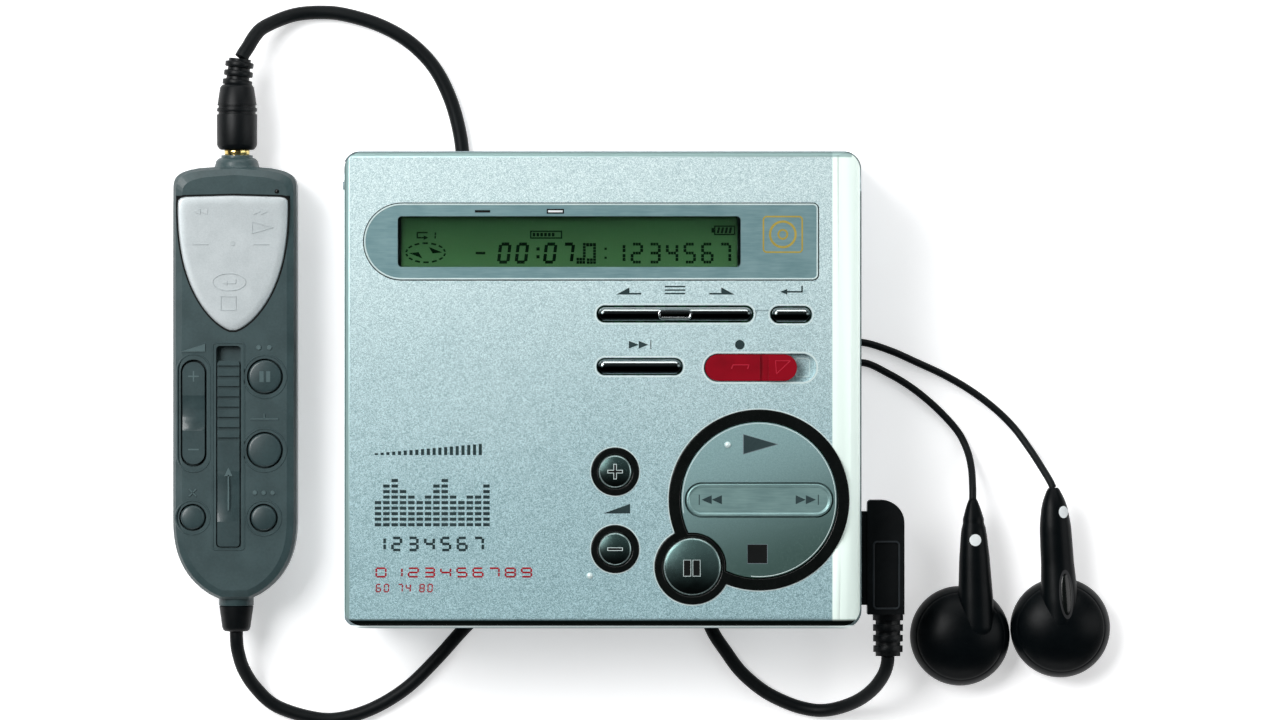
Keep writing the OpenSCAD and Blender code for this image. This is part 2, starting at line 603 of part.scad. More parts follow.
module display_window() color([0.75, 0.82, 0.80, 0.5]) {
    translate([0, 0, under_lid]) linear_extrude(lid_top - 0.05 - under_lid) window_outline(0);
    translate([0, 0, under_lid - 0.45]) linear_extrude(0.45) window_outline(1);
}

module display_bezel() color([0.47, 0.58, 0.62]) difference() {
    translate([0, 0, lid_top - 0.45]) linear_extrude(0.55) bezel_outline(0);
    translate([0, 0, 24]) linear_extrude(5) window_outline(0.03);
}

module menu_rocker() color([0.80, 0.83, 0.84]) {
    soft_key(menu_at, [menu_len, 2.1], 1.03, 26.4, lid_top + 0.3);
    soft_key(menu_at, [5.4, 2.1], 0.9, 26.4, lid_top + 0.55);
    block([menu_at.x - 1.5, menu_at.y - 0.6, 25.2], [menu_at.x + 1.5, menu_at.y + 0.6, 26.5]);
}

module push_key(at, size) {
    soft_key(at, size, size.y / 2 - 0.02, 25.5, lid_top + 0.35);
    soft_key(at, [size.x + 1.4, size.y + 1.4], 1, 25.5, 25.95);
}

module enter_button() color([0.80, 0.83, 0.84]) push_key(enter_at, [6.1, 2.2]);

module end_search_button() color([0.80, 0.83, 0.84]) push_key(search_at, [13.1, 2.3]);

module rec_slider() color([0.60, 0.01, 0.10]) difference() {
    union() {
        soft_key([rec_x0 + 0.2 + rec_len / 2, rec_y], [rec_len, 4.1], 2.04, 25.75, lid_top + 0.2);
        intersection() {
            soft_key([rec_x0 + 0.2 + rec_len / 2, rec_y], [rec_len, 4.1], 2.04, 25.75, lid_top + 0.6);
            block([rec_x0 + rec_len - 4.2, 0, 25], [rec_x0 + rec_len + 1, 8, 29]);
        }
    }
    block([rec_x0 + rec_len - 5.5, 0, lid_top - 0.05], [rec_x0 + rec_len - 5.1, 7, lid_top + 1]);
}

module volume_rings() color([0.07, 0.08, 0.08])
    for (p = [vol_up_at, vol_down_at]) difference() {
        union() {
            post([p.x, p.y, under_lid], vol_d / 2 + 1.17, ring_top - under_lid);
            post([p.x, p.y, under_lid - 0.4], vol_d / 2 + 1.8, 0.4);
        }
        post([p.x, p.y, 25], vol_d / 2 + 0.15, 5);
    }

module round_key(at) {
    post([at.x, at.y, 25.45], vol_d / 2, lid_top + 0.45 - 25.45);
    post([at.x, at.y, 25.45], vol_d / 2 + 0.6, 0.4);
}

module vol_up_button() color([0.47, 0.58, 0.62]) round_key(vol_up_at);

module vol_down_button() color([0.47, 0.58, 0.62]) round_key(vol_down_at);

module pad_surround() color([0.07, 0.08, 0.08])
    translate([0, 0, 25.5]) linear_extrude(ring_top - 25.5) difference() {
        union() {
            pad_circle(pad_d / 2 + ring_w + 0.15);
            pause_circle(pause_d / 2 + 1.4);
        }
        difference() {
            pad_circle(pad_d / 2 + 0.15);
            pause_circle(pause_d / 2 + 0.65);
        }
        pause_circle(pause_d / 2 + 0.15);
    }

module control_pad() color([0.35, 0.45, 0.47]) {
    difference() {
        translate([0, 0, 26]) linear_extrude(lid_top + 0.3 - 26) difference() {
            pad_circle(pad_d / 2 - 0.03);
            pause_circle(pause_d / 2 + 0.83);
        }
        soft_key(pad_at, [23.2, 5.5], 2.7, 26.45, 29);
    }
    post([pad_at.x, pad_at.y, 25.15], 2, 1);
}

module skip_bar() color([0.62, 0.72, 0.75]) {
    soft_key(pad_at, [22.7, 5.1], 2.5, 27, lid_top + 0.7);
    rod_along_y([pad_at.x, pad_at.y - 2.4, 26.97], 0.45, 4.8);
}

module pause_button() color([0.47, 0.58, 0.62]) {
    post([pause_at.x, pause_at.y, 25.5], pause_d / 2, lid_top + 0.4 - 25.5);
}

// Remote control

// Half of the remote's outline, top to bottom: a low arch, a shoulder, then a rounded point
function remote_half(i) = concat(
    [for (a = [90 : -9 : 0]) [(remote_w / 2 - i) * pow(cos(a), 0.3),
        29.5 + (5.7 - i) * pow(sin(a), 0.25) - 1.1 * pow(cos(a), 0.6)]],
    [for (u = [0 : 0.06 : 0.96]) [(remote_w / 2 - i) * pow(1 - pow(u, 2.6), 0.62), -20 - (13.8 - i) * u]]);

function mirrored(half) = concat(half, [for (k = [len(half) - 1 : -1 : 0]) [-half[k].x, half[k].y]]);

module remote_outline(i) translate([remote_x, 0]) polygon(mirrored(remote_half(i)));

// Half of the shield-shaped plate
plate_len = remote_plate_y[1] - remote_plate_y[0];
function plate_half(i) = concat([[0.01, remote_plate_y[1] + 0.35 - i]],
    [for (u = [0 : 0.07 : 0.98]) [(8.7 - i) * pow(1 - pow(u, 2.6), 0.66),
        remote_plate_y[1] - i - (plate_len - 2 * i) * u]]);

module plate_outline(i) translate([remote_x - 0.25, 0]) polygon(mirrored(plate_half(i)));

module remote_neck(z0, z1) intersection() {
    union() {
        translate([remote_x + 0.2, 0, split_z]) rotate([-90, 0, 0]) rotate_extrude()
            polygon([[0, 34], [4, 34], [3.5, 35.2], [3.3, 36], [2.9, 36.4], [2.5, 36.5], [2.5, 36.9],
                [0, 36.9]]);
        rod_along_y([remote_x + 0.1, -34.3, split_z], 2.75, 3.3);
    }
    block([remote_x - 5, -40, z0], [remote_x + 5, 40, z1]);
}

module remote_ways() {
    rod_along_y([remote_x + 0.2, 33, split_z], 2, 8);
    rod_along_y([remote_x + 0.1, -36, split_z], 1.6, 6);
}

module remote_back_shell() color([0.38, 0.47, 0.49]) difference() {
    union() {
        translate([0, 0, shell_z0]) linear_extrude(0.5) remote_outline(0.7);
        translate([0, 0, shell_z0 + 0.4]) linear_extrude(split_z - shell_z0 - 0.4) remote_outline(0);
        remote_neck(0, split_z);
        for (x = [-6, 4.9]) {
            block([remote_x + x, clip_y - 1.1, clip_z], [remote_x + x + 1.1, clip_y + 1.1, 2.8]);
            rod_along_x([remote_x + x, clip_y, clip_z], 1.1, 1.1);
        }
    }
    translate([0, 0, shell_z0 + 0.9]) linear_extrude(9) remote_outline(1.1);
    remote_ways();
    rod_along_x([remote_x - 7, clip_y, clip_z], 0.55, 14);
}

module remote_front_shell() color([0.38, 0.47, 0.49]) difference() {
    union() {
        hull() {
            translate([0, 0, split_z]) linear_extrude(remote_top - split_z - 1.4) remote_outline(0);
            translate([0, 0, split_z]) linear_extrude(remote_top - split_z - 0.5) remote_outline(0.45);
            translate([0, 0, split_z]) linear_extrude(remote_top - split_z) remote_outline(1.5);
        }
        remote_neck(split_z, 12);
    }
    translate([0, 0, split_z - 1]) linear_extrude(3.2) remote_outline(1.1);
    remote_ways();
    translate([0, 0, tray_z]) linear_extrude(5) plate_outline(-0.3);
    soft_key([rocker_x, rocker_y], [4.1, 16.9], 2, tray_z, 14);
    soft_key([slider_x, -9.15], [3.9, 31.8], 0.6, tray_z, 14);
    for (k = remote_keys) post([k[0], k[1], tray_z], k[2] + 0.25, 5);
}

module remote_clip() color([0.30, 0.38, 0.40]) {
    soft_key([remote_x, 2], [9.2, 48], 3, 0, 1);
    block([remote_x - 4.6, -20.6, 0.4], [remote_x + 4.6, -19.4, 2.4]);
    rod_along_x([remote_x - 4.7, clip_y, clip_z], 0.95, 9.4);
    rod_along_x([remote_x - 6, clip_y, clip_z], 0.5, 12);
}

module remote_board() color([0.10, 0.36, 0.22]) difference() {
    union() {
        translate([0, 0, 4.6]) linear_extrude(0.8) intersection() {
            remote_outline(1.6);
            translate([remote_x - 12, -28]) square([24, 60]);
        }
        block([remote_x - 3.1, 21, shell_z0 + 0.9], [remote_x + 3.5, 33.6, 8.4]);
    }
    rod_along_y([remote_x + 0.2, 22.5, split_z], 1.8, 20);
}

module remote_key_plate() color([0.76, 0.80, 0.80])
    translate([0, 0, 9.75]) linear_extrude(remote_top + 0.3 - 9.75) plate_outline(0);

module remote_volume_rocker() color([0.30, 0.38, 0.40]) difference() {
    soft_key([rocker_x, rocker_y], [3.5, 16.1], 1.7, 9.75, remote_top + 0.35);
    rod_along_x([rocker_x - 3, rocker_y, remote_top + 7.1], 7.3, 6);
}

module remote_hold_slider() color([0.30, 0.38, 0.40]) difference() {
    soft_key([slider_x, slider_y0 + slider_len / 2], [3.5, slider_len], 0.5, 9.4, remote_top + 0.3);
    for (i = [0 : 7]) block([slider_x - 3, -8.25 + i * 1.62, remote_top - 0.1],
        [slider_x + 3, -7.7 + i * 1.62, 12]);
    rod_along_x([slider_x - 3, -17, remote_top + 19.9], 20, 6);
}

// Round keys of the remote: centre and radius
remote_keys = [[-53.3, 1.9, 2.6], [-53.35, -9.7, 2.65], [-64.7, -20.3, 1.9], [-53.5, -20.4, 2]];

module remote_key(k) intersection() {
    post([k[0], k[1], 9.7], k[2], 2);
    translate([k[0], k[1], remote_top + 0.4 - 9]) sphere(r = 9, $fn = 96);
}

module remote_pause_button() color([0.30, 0.38, 0.40]) remote_key(remote_keys[0]);

module remote_upper_button() color([0.30, 0.38, 0.40]) remote_key(remote_keys[1]);

module remote_left_button() color([0.30, 0.38, 0.40]) remote_key(remote_keys[2]);

module remote_right_button() color([0.30, 0.38, 0.40]) remote_key(remote_keys[3]);

module remote_strain_relief() color([0.06, 0.07, 0.07]) {
    rod_along_y([remote_x + 0.1, -35.2, split_z], 1.55, 4);
    translate([remote_x + 0.1, -34.35, split_z]) rotate([90, 0, 0])
        cylinder(r1 = 2.7, r2 = 2.15, h = 4.05);
}

// Plugs, cords and earpieces

// Ribbed sleeve along +Y, from radius ra to rb
module ribbed_sleeve(ra, rb, h, ribs) rotate([-90, 0, 0]) {
    cylinder(r1 = ra - 0.45, r2 = rb - 0.35, h = h);
    for (k = [0 : ribs - 1]) translate([0, 0, h * k / ribs])
        cylinder(r = ra + (rb - ra) * k / ribs, h = h / ribs * 0.62);
}

module player_plug() color([0.06, 0.07, 0.07]) {
    x0 = cw + 0.02;
    difference() {
        translate([0, 0, 8.6]) linear_extrude(6.8) {
            translate([x0 + 1.1, -35.5]) square([5.8, 14.4]);
            translate([x0 + 1.1, -24]) square([2.2, 5.9]);
            translate([x0 + 1.7, -24]) square([1.6, 6.5]);
            translate([x0 + 1.7, -18.1]) circle(r = 0.6);
            intersection() {
                translate([x0 + 3.2, -21.2]) square([3.7, 3.7]);
                translate([x0 + 3.3, -21.1]) circle(r = 3.6);
            }
        }
        block([x0 + 2.2, -34.4, 15.1], [x0 + 5.9, -24.2, 16]);
    }
    block([x0, -34, 9.2], [x0 + 1.2, -19.3, 14.8]);
    rod_along_x([26.6, pin_jack_y, jack_z], 1.75, x0 - 26.5);
    block([35.8, -32.4, 10.6], [x0 + 0.1, -27.1, 13.4]);
    translate([44.9, -35.45, jack_z]) rotate([0, 0, 180]) ribbed_sleeve(2.4, 2.3, 6.65, 4);
}

module earphone_plug() color([0.06, 0.07, 0.07]) {
    x = remote_x + 0.2;
    rod_along_y([x, 23.4, split_z], 1.75, 14);
    rod_along_y([x, 36.95, split_z], 2, 0.9);
    difference() {
        rod_along_y([x, 37.75, split_z], 3.2, 7.3);
        for (y = [43.4, 44.4]) difference() {
            rod_along_y([x, y, split_z], 4, 0.4);
            rod_along_y([x, y - 0.1, split_z], 3, 0.6);
        }
    }
    translate([x, 45, split_z]) rotate([-90, 0, 0]) cylinder(r1 = 3.2, r2 = 2.6, h = 3);
    translate([x, 47.9, split_z]) rotate([0, 0, -6.5]) ribbed_sleeve(2.35, 2.3, 4.3, 3);
}

module remote_cord_plug_end() color([0.06, 0.08, 0.09]) tube(plug_end_route, remote_cord_d, 8);

module remote_cord_coil() color([0.06, 0.08, 0.09]) tube(remote_coil_path, remote_cord_d, 6);

module remote_cord_free() color([0.06, 0.08, 0.09]) tube(free_route, remote_cord_d, 8);

module earphone_cord_upper() color([0.06, 0.08, 0.09]) tube(upper_route, trunk_d, 8);

module earphone_cord_coil() color([0.06, 0.08, 0.09]) tube(trunk_coil_path, trunk_d, 6);

module earphone_cord_tail() color([0.06, 0.08, 0.09]) tube(tail_route, trunk_d, 8);

module cord_splitter() color([0.06, 0.07, 0.07])
    translate([0, 0, 0.05]) linear_extrude(3.3) soft_rect(-7.5, 1.5, 11.6, 17, 1.2);

module bud_cord_right() color([0.06, 0.08, 0.09]) tube(right_route, branch_d, 8);

module bud_cord_left() color([0.06, 0.08, 0.09]) tube(left_route, branch_d, 8);

// A stem lies from its tip to its heel inside the earpiece, in tapered steps
module bud_stem(tip, heel, steps) {
    run = heel - tip;
    translate([tip.x, tip.y, stem_z]) rotate(atan2(run.y, run.x)) rotate([0, 90, 0])
        for (k = [1 : len(steps) - 1]) translate([0, 0, steps[k - 1][0]])
            cylinder(r1 = steps[k - 1][1], r2 = steps[k][1], h = steps[k][0] - steps[k - 1][0]);
}

module earbud_housings() color([0.05, 0.06, 0.07]) {
    for (b = [bud_right, bud_left]) translate([b.x, b.y, 0]) rotate_extrude()
        polygon(concat([[0, 1.3], [bud_d / 2 - 0.5, 1.3], [bud_d / 2, 1.8]],
            [for (a = [0 : 9 : 90]) [bud_d / 2 * cos(a), 3.4 + 5.2 * sin(a)]]));
    bud_stem(tip_right, heel_right, steps_right);
    bud_stem(tip_left, heel_left, steps_left);
}

module earbud_grilles() color([0.25, 0.27, 0.29])
    for (b = [bud_right, bud_left]) translate([b.x, b.y, 0]) rotate_extrude()
        polygon([[0, 0], [5.6, 0], [6.6, 0.5], [7, 1.3], [0, 1.3]]);

lower_case();
battery_case();
battery_door();
battery_contacts();
hinge_pins();
case_screws();
open_latch();
hold_switch();
case_jacks();
main_board();
mech_chassis();
spindle_motor();
turntable();
guide_rods();
pickup_sled();
lead_screw();
sled_motor();
disc_holder();
lid_panel();
lid_liner();
key_board();
lcd_panel();
display_window();
display_bezel();
menu_rocker();
enter_button();
end_search_button();
rec_slider();
volume_rings();
vol_up_button();
vol_down_button();
pad_surround();
control_pad();
skip_bar();
pause_button();
remote_back_shell();
remote_front_shell();
remote_clip();
remote_board();
remote_key_plate();
remote_volume_rocker();
remote_hold_slider();
remote_pause_button();
remote_upper_button();
remote_left_button();
remote_right_button();
remote_strain_relief();
player_plug();
remote_cord_plug_end();
remote_cord_coil();
remote_cord_free();
earphone_plug();
earphone_cord_upper();
earphone_cord_coil();
earphone_cord_tail();
cord_splitter();
bud_cord_right();
bud_cord_left();
earbud_housings();
earbud_grilles();
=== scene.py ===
"""Portable disc player with its wired remote and earphones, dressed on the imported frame.

Metres throughout; lists of points are in millimetres and are scaled once by MM.
"""
import bpy
import math
import numpy as np
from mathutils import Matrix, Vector


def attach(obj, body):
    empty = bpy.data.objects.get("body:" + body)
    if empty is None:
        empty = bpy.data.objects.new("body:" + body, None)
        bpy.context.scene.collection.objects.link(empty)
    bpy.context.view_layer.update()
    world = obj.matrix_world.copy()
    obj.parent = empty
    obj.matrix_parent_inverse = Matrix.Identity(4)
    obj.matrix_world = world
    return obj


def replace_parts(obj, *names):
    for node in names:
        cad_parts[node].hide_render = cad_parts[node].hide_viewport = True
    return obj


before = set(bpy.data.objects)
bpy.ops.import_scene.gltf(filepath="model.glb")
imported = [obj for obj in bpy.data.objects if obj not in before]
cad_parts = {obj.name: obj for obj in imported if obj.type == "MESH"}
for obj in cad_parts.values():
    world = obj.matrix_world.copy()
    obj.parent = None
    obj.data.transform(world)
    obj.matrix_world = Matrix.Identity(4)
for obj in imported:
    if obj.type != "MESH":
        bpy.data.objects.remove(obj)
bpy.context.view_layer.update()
MM = 0.001
TAU = 2 * math.pi


# Shader arithmetic

class S:
    """A shader socket that takes part in Python expressions through Math nodes."""

    def __init__(self, tree, socket):
        self.tree, self.socket = tree, socket

    def node(self, kind, inputs=(), out=0, **settings):
        """Adds a node, sets its properties, fills its inputs by name or number; returns one output."""
        n = self.tree.nodes.new(kind)
        for key, value in settings.items():
            setattr(n, key, value)
        for key, value in dict(inputs).items():
            if isinstance(value, S):
                self.tree.links.new(value.socket, n.inputs[key])
            else:
                n.inputs[key].default_value = value
        return S(self.tree, n.outputs[out])

    def math(self, op, *others):
        """A Math node on this value and the others."""
        return self.node("ShaderNodeMath", dict(enumerate((self,) + others)), operation=op)

    def __add__(self, other):
        return self.math("ADD", other)

    def __sub__(self, other):
        return self.math("SUBTRACT", other)

    def __rsub__(self, other):
        return (self * -1.0).math("ADD", other)

    def __mul__(self, other):
        return self.math("MULTIPLY", other)

    def __truediv__(self, other):
        return self.math("DIVIDE", other)

    def __pow__(self, other):
        return self.math("POWER", other)

    __radd__ = __add__
    __rmul__ = __mul__

    def sin(self):
        return self.math("SINE")

    def min(self, other):
        return self.math("MINIMUM", other)

    def max(self, other):
        return self.math("MAXIMUM", other)

    def step(self, low, high):
        """0 below low, 1 above high, smooth between."""
        return self.node("ShaderNodeMapRange", {"Value": self, "From Min": low, "From Max": high},
                         interpolation_type="SMOOTHSTEP")

    def mix(self, a, b):
        """Colour a where this is 0 and colour b where it is 1."""
        return self.node("ShaderNodeMix", {0: self, 6: rgba(a), 7: rgba(b)}, out=2, data_type="RGBA")


def rgba(c):
    """A colour given as sRGB values from 0 to 255 becomes a linear RGBA tuple."""
    if isinstance(c, S):
        return c
    v = np.array(c[:3], float) / 255
    v = np.where(v <= 0.04045, v / 12.92, ((v + 0.055) / 1.055) ** 2.4)
    return (*v.tolist(), 1.0)


class Look:
    """A material with one Principled shader, and Object coordinates in millimetres as p, x, y, z."""

    def __init__(self, name, color, rough, metal=0.0, **constants):
        self.mat = bpy.data.materials.new(name)
        self.mat.use_nodes = True
        tree = self.mat.node_tree
        self.shader = tree.nodes["Principled BSDF"]
        coord = S(tree, tree.nodes.new("ShaderNodeTexCoord").outputs["Object"])
        self.p = coord.node("ShaderNodeVectorMath", {0: coord, 3: 1000.0}, operation="SCALE")
        parts = coord.node("ShaderNodeSeparateXYZ", {0: self.p}).socket.node
        self.x, self.y, self.z = (S(tree, parts.outputs[i]) for i in range(3))
        self.set("Base Color", rgba(color))
        self.set("Roughness", rough)
        self.set("Metallic", metal)
        for key, value in constants.items():
            self.set(key.replace("_", " "), value)

    def set(self, name, value):
        socket = self.shader.inputs[name]
        if isinstance(value, S):
            self.p.tree.links.new(value.socket, socket)
        else:
            socket.default_value = value
        return self

    def noise(self, per_mm, detail=2.0, roughness=0.5, stretch=None):
        """Noise from 0 to 1, per_mm features to a millimetre, drawn out along an axis by stretch."""
        p = self.p
        if stretch:
            p = p.node("ShaderNodeVectorMath", {0: p, 1: stretch}, operation="MULTIPLY")
        return p.node("ShaderNodeTexNoise", {"Vector": p, "Scale": per_mm, "Detail": detail,
                                             "Roughness": roughness})

    def flakes(self, per_mm):
        """One random value from 0 to 1 for each small cell."""
        cell = self.p.node("ShaderNodeTexVoronoi", {"Vector": self.p, "Scale": per_mm}, out="Color")
        return cell.node("ShaderNodeSeparateColor", {0: cell})

    def bump(self, height, depth_mm, strength=1.0):
        """A Bump from a height of 0 to 1 that stands for depth_mm."""
        return self.set("Normal", height.node("ShaderNodeBump",
            {"Height": height, "Distance": depth_mm * MM, "Strength": strength}))


def plastic(name, dark, light, rough, grain=6.0, depth=0.004, coat=0.0, shine=0.35, **constants):
    """Moulded plastic: cloudy colour at two scales, uneven gloss and a fine spark-eroded grain."""
    look = Look(name, dark, rough, Specular_IOR_Level=shine, **constants)
    cloud = look.noise(0.25, 3.0) * 0.7 + look.noise(2.5, 2.0) * 0.3
    look.set("Base Color", cloud.step(0.3, 0.7).mix(dark, light))
    look.set("Roughness", look.noise(1.2, 3.0) * 0.14 + (rough - 0.07))
    look.bump(look.noise(grain, 3.0, 0.6), depth)
    if coat:
        look.set("Coat Weight", coat).set("Coat Roughness", 0.08)
    return look


def metal(name, dark, light, rough, along=(1.0, 1.0, 1.0), depth=0.002, amount=1.0):
    """Worked metal: streaks drawn out along an axis, with uneven roughness."""
    look = Look(name, dark, rough, amount)
    streak = look.noise(5.0, 3.0, 0.6, along)
    wear = look.noise(0.3, 3.0)
    look.set("Base Color", (streak * 0.6 + wear * 0.4).step(0.3, 0.7).mix(dark, light))
    look.set("Roughness", streak * 0.10 + wear * 0.08 + (rough - 0.09))
    look.bump(streak, depth)
    return look


# Colours follow the photograph

lid_look = Look("lid_sparkle", (168, 194, 201), 0.42, 0.72)
flake = lid_look.flakes(8.5)
fine = lid_look.flakes(17.0)
# The plain strip that rolls over the right-hand edge: smooth, with a painted highlight of near-white
# colour and a faint glow
rolled_strip_smooth_and_lit = lid_look.x.step(35.7, 35.95)
# Painted light: the lid grows lighter towards the rear, with a slow random mottle; the bright flake
# colour is a painted glint
painted_rear_light = (lid_look.y * 0.0125 + lid_look.noise(0.05, 2.0) * 0.2 + 0.34).step(0.0, 1.0)
sparkle = (flake * 0.6 + fine * 0.4 - 0.5) * (1.0 - rolled_strip_smooth_and_lit)
dark, glint = painted_rear_light.mix((112, 146, 152), (168, 198, 202)), painted_rear_light.mix((186, 218, 224), (240, 255, 255))
colour = rolled_strip_smooth_and_lit.mix((sparkle * 1.5 + 0.5).mix(dark, glint), (240, 255, 248))
# Painted shade on the rounding at the rear and on the left and on its outermost line, and a painted dark
# reflection on the rounding at the front
leftward, forward = lid_look.x * -1.0, lid_look.y * -1.0
rounding = lid_look.z.step(25.8, 26.1)
bend_painted_shade = lid_look.y.step(36.0, 36.3).max(leftward.step(39.3, 39.6)) * rounding
outline = lid_look.y.step(36.6, 36.85).max(leftward.step(39.85, 40.1)) * rounding
front = forward.step(35.7, 36.25) * lid_look.z.step(24.6, 25.6)
colour = outline.mix(bend_painted_shade.mix(colour, (148, 176, 174)), (96, 124, 122))
# Painted dark reflection: the front rounding is near-black and fully metallic
lid_look.set("Base Color", front.mix(colour, (8, 18, 15)))
# Painted light: the strip over the right-hand edge glows faintly, except on the front rounding
lid_look.set("Emission Color", (rolled_strip_smooth_and_lit * (1.0 - front)).mix((0, 0, 0), (214, 236, 228)))
lid_look.set("Emission Strength", 0.12)
lid_look.set("Metallic", (0.5 - rolled_strip_smooth_and_lit * 0.3) * (1.0 - front) + front)
lid_look.set("Roughness", (0.46 + sparkle * 0.3) * (1.0 - rolled_strip_smooth_and_lit) + rolled_strip_smooth_and_lit * 0.5 + front * 0.5)
lid_look.bump(flake * (1.0 - rolled_strip_smooth_and_lit), 0.006)

case_look = Look("case_metallic", (150, 168, 174), 0.34, 0.8)
flake = case_look.flakes(9.0)
plain = (flake * 0.5 + case_look.noise(0.2, 2.0) * 0.5).mix((128, 146, 152), (186, 202, 206))
# The polished lip that shows past the lid at the front and on the left, with a painted highlight:
# near-white, barely metallic colour and a glow
leftward, forward = case_look.x * -1.0, case_look.y * -1.0
painted_lit_lip = forward.step(36.98, 37.05) * case_look.y.step(-37.38, -37.32)
painted_lit_lip = painted_lit_lip.max(leftward.step(40.35, 40.42)) * case_look.z.step(21.2, 21.45)
case_look.set("Base Color", painted_lit_lip.mix(plain, (250, 255, 255)))
case_look.set("Metallic", 0.8 - painted_lit_lip * 0.75)
# Painted light: the lip glows
case_look.set("Emission Color", painted_lit_lip.mix((0, 0, 0), (226, 238, 236)))
case_look.set("Emission Strength", 0.4)
case_look.set("Roughness", case_look.noise(1.5, 3.0) * 0.12 + 0.28)
case_look.bump(flake, 0.005)

bezel_look = metal("bezel_satin", (114, 150, 155), (132, 164, 168), 0.40, (0.08, 1.0, 1.0), amount=0.5)
steel_look = metal("bright_steel", (170, 172, 176), (208, 210, 214), 0.30, (0.1, 1.0, 1.0), 0.002)
dark_steel_look = metal("dark_steel", (62, 64, 68), (88, 90, 94), 0.36)
sheet_look = metal("pressed_sheet", (176, 178, 182), (206, 208, 212), 0.36, (1.0, 0.08, 1.0), 0.002)
brass_look = metal("nickelled_brass", (186, 168, 112), (214, 198, 148), 0.28, (0.1, 1.0, 1.0))
gold_look = metal("gold_plate", (196, 168, 96), (240, 220, 150), 0.20, (1.0, 0.2, 1.0))
bead_look = metal("plated_bead", (206, 214, 216), (230, 236, 236), 0.16, (0.15, 1.0, 1.0), 0.0008)
bar_look = metal("brushed_bar", (116, 148, 148), (134, 166, 164), 0.36, (0.06, 1.0, 1.0), 0.002, 0.5)
remote_plate_look = metal("satin_plate", (186, 194, 196), (200, 207, 209), 0.42, amount=0.35)

remote_look = plastic("slate_pearl", (50, 67, 69), (60, 78, 80), 0.42, 5.0, 0.004, 0.12)
remote_key_look = plastic("slate_key", (46, 62, 64), (56, 73, 75), 0.36, 6.0, 0.002, 0.2)
trim_look = plastic("grey_trim", (98, 112, 118), (116, 130, 136), 0.42)
liner_look = plastic("silver_liner", (136, 148, 152), (158, 170, 174), 0.45, 5.0, 0.006)
drive_look = plastic("black_moulding", (24, 26, 28), (34, 36, 38), 0.5, 6.0, 0.006, 0.0, 0.25)
ring_look = plastic("polished_black", (4, 7, 6), (9, 13, 12), 0.26, 4.0, 0.0008, 0.3, 0.2)
cord_look = plastic("soft_vinyl", (4, 8, 10), (9, 14, 16), 0.5, 3.0, 0.006, 0.0, 0.15)
tie_look = plastic("tie_band", (22, 23, 25), (34, 35, 38), 0.6, 8.0, 0.01)
sleeve_look = plastic("moulded_vinyl", (4, 7, 9), (9, 13, 15), 0.42, 4.0, 0.006, 0.0, 0.18)
# Painted highlight: a lighter black for the bead along the plug's edge
plug_edge_highlight_look = plastic("vinyl_painted_highlight", (26, 32, 36), (34, 41, 45), 0.45, 4.0, 0.002, 0.0, 0.25)
bud_look = plastic("polished_bud", (3, 6, 8), (6, 10, 12), 0.36, 3.0, 0.0008, 0.0, 0.08)
white_ink = plastic("white_ink", (205, 212, 214), (224, 229, 230), 0.5, 8.0, 0.001)
dark_ink = plastic("dark_ink", (34, 50, 52), (44, 61, 63), 0.55, 8.0, 0.001, 0.0, 0.15)
red_ink = plastic("red_ink", (138, 8, 24), (160, 16, 32), 0.55, 8.0, 0.001, 0.0, 0.15)
ochre_ink = plastic("ochre_ink", (150, 134, 56), (168, 150, 68), 0.45, 8.0, 0.001)
black_ink = plastic("black_ink", (4, 7, 7), (9, 12, 12), 0.5, 8.0, 0.001, 0.0, 0.15)
lcd_ink = plastic("lcd_segments", (12, 30, 18), (18, 38, 24), 0.7, 8.0, 0.001, 0.0, 0.03)
# Painted shade: the embossed marks on the shield are a darker, plainer colour than its metal
emboss_shade_look = plastic("emboss_painted_shade", (176, 184, 186), (190, 197, 199), 0.45, 8.0, 0.001)

red_look = Look("red_slider", (110, 2, 18), 0.3, Coat_Weight=0.2, Specular_IOR_Level=0.3)
red_look.set("Base Color", (red_look.noise(0.4, 2.0) * 0.6 + red_look.z * 0.4 - 10.7).step(0.0, 0.8)
             .mix((104, 0, 14), (138, 2, 24)))
red_look.bump(red_look.noise(2.0, 3.0), 0.004)

# Painted highlight: the raised marks on the red slider are a lighter red than it
red_relief_highlight_look = plastic("red_painted_highlight", (170, 20, 44), (186, 34, 58), 0.4, 8.0, 0.001)

pad_look = Look("pearl_pad", (110, 138, 142), 0.33, 0.45, Coat_Weight=0.3)
# Painted shade: the pad darkens towards its near, right-hand side, in its colour and under its grain
down = (pad_look.y * -0.042 + pad_look.x * 0.012 - 0.52).step(0.0, 1.0)
grain = pad_look.flakes(7.0)
shaded_pearl = down.mix((158, 194, 196), (70, 97, 92))
pad_look.set("Base Color", (grain * 0.5).mix(shaded_pearl, down.mix((118, 152, 154), (72, 98, 93))))
pad_look.set("Roughness", grain * 0.12 + 0.28)
pad_look.bump(grain, 0.004)

# Painted highlight: a near-white, slightly metallic colour for the lines, beads and dots that stand for
# lit edges
painted_highlight_look = metal("painted_highlight", (206, 226, 226), (226, 242, 240), 0.4, (1.0, 1.0, 1.0), 0.001, 0.3)
# Painted highlight: the raised marks on the remote are a lighter slate than its body
remote_relief_highlight_look = plastic("slate_painted_highlight", (74, 93, 95), (84, 103, 105), 0.4, 6.0, 0.002)


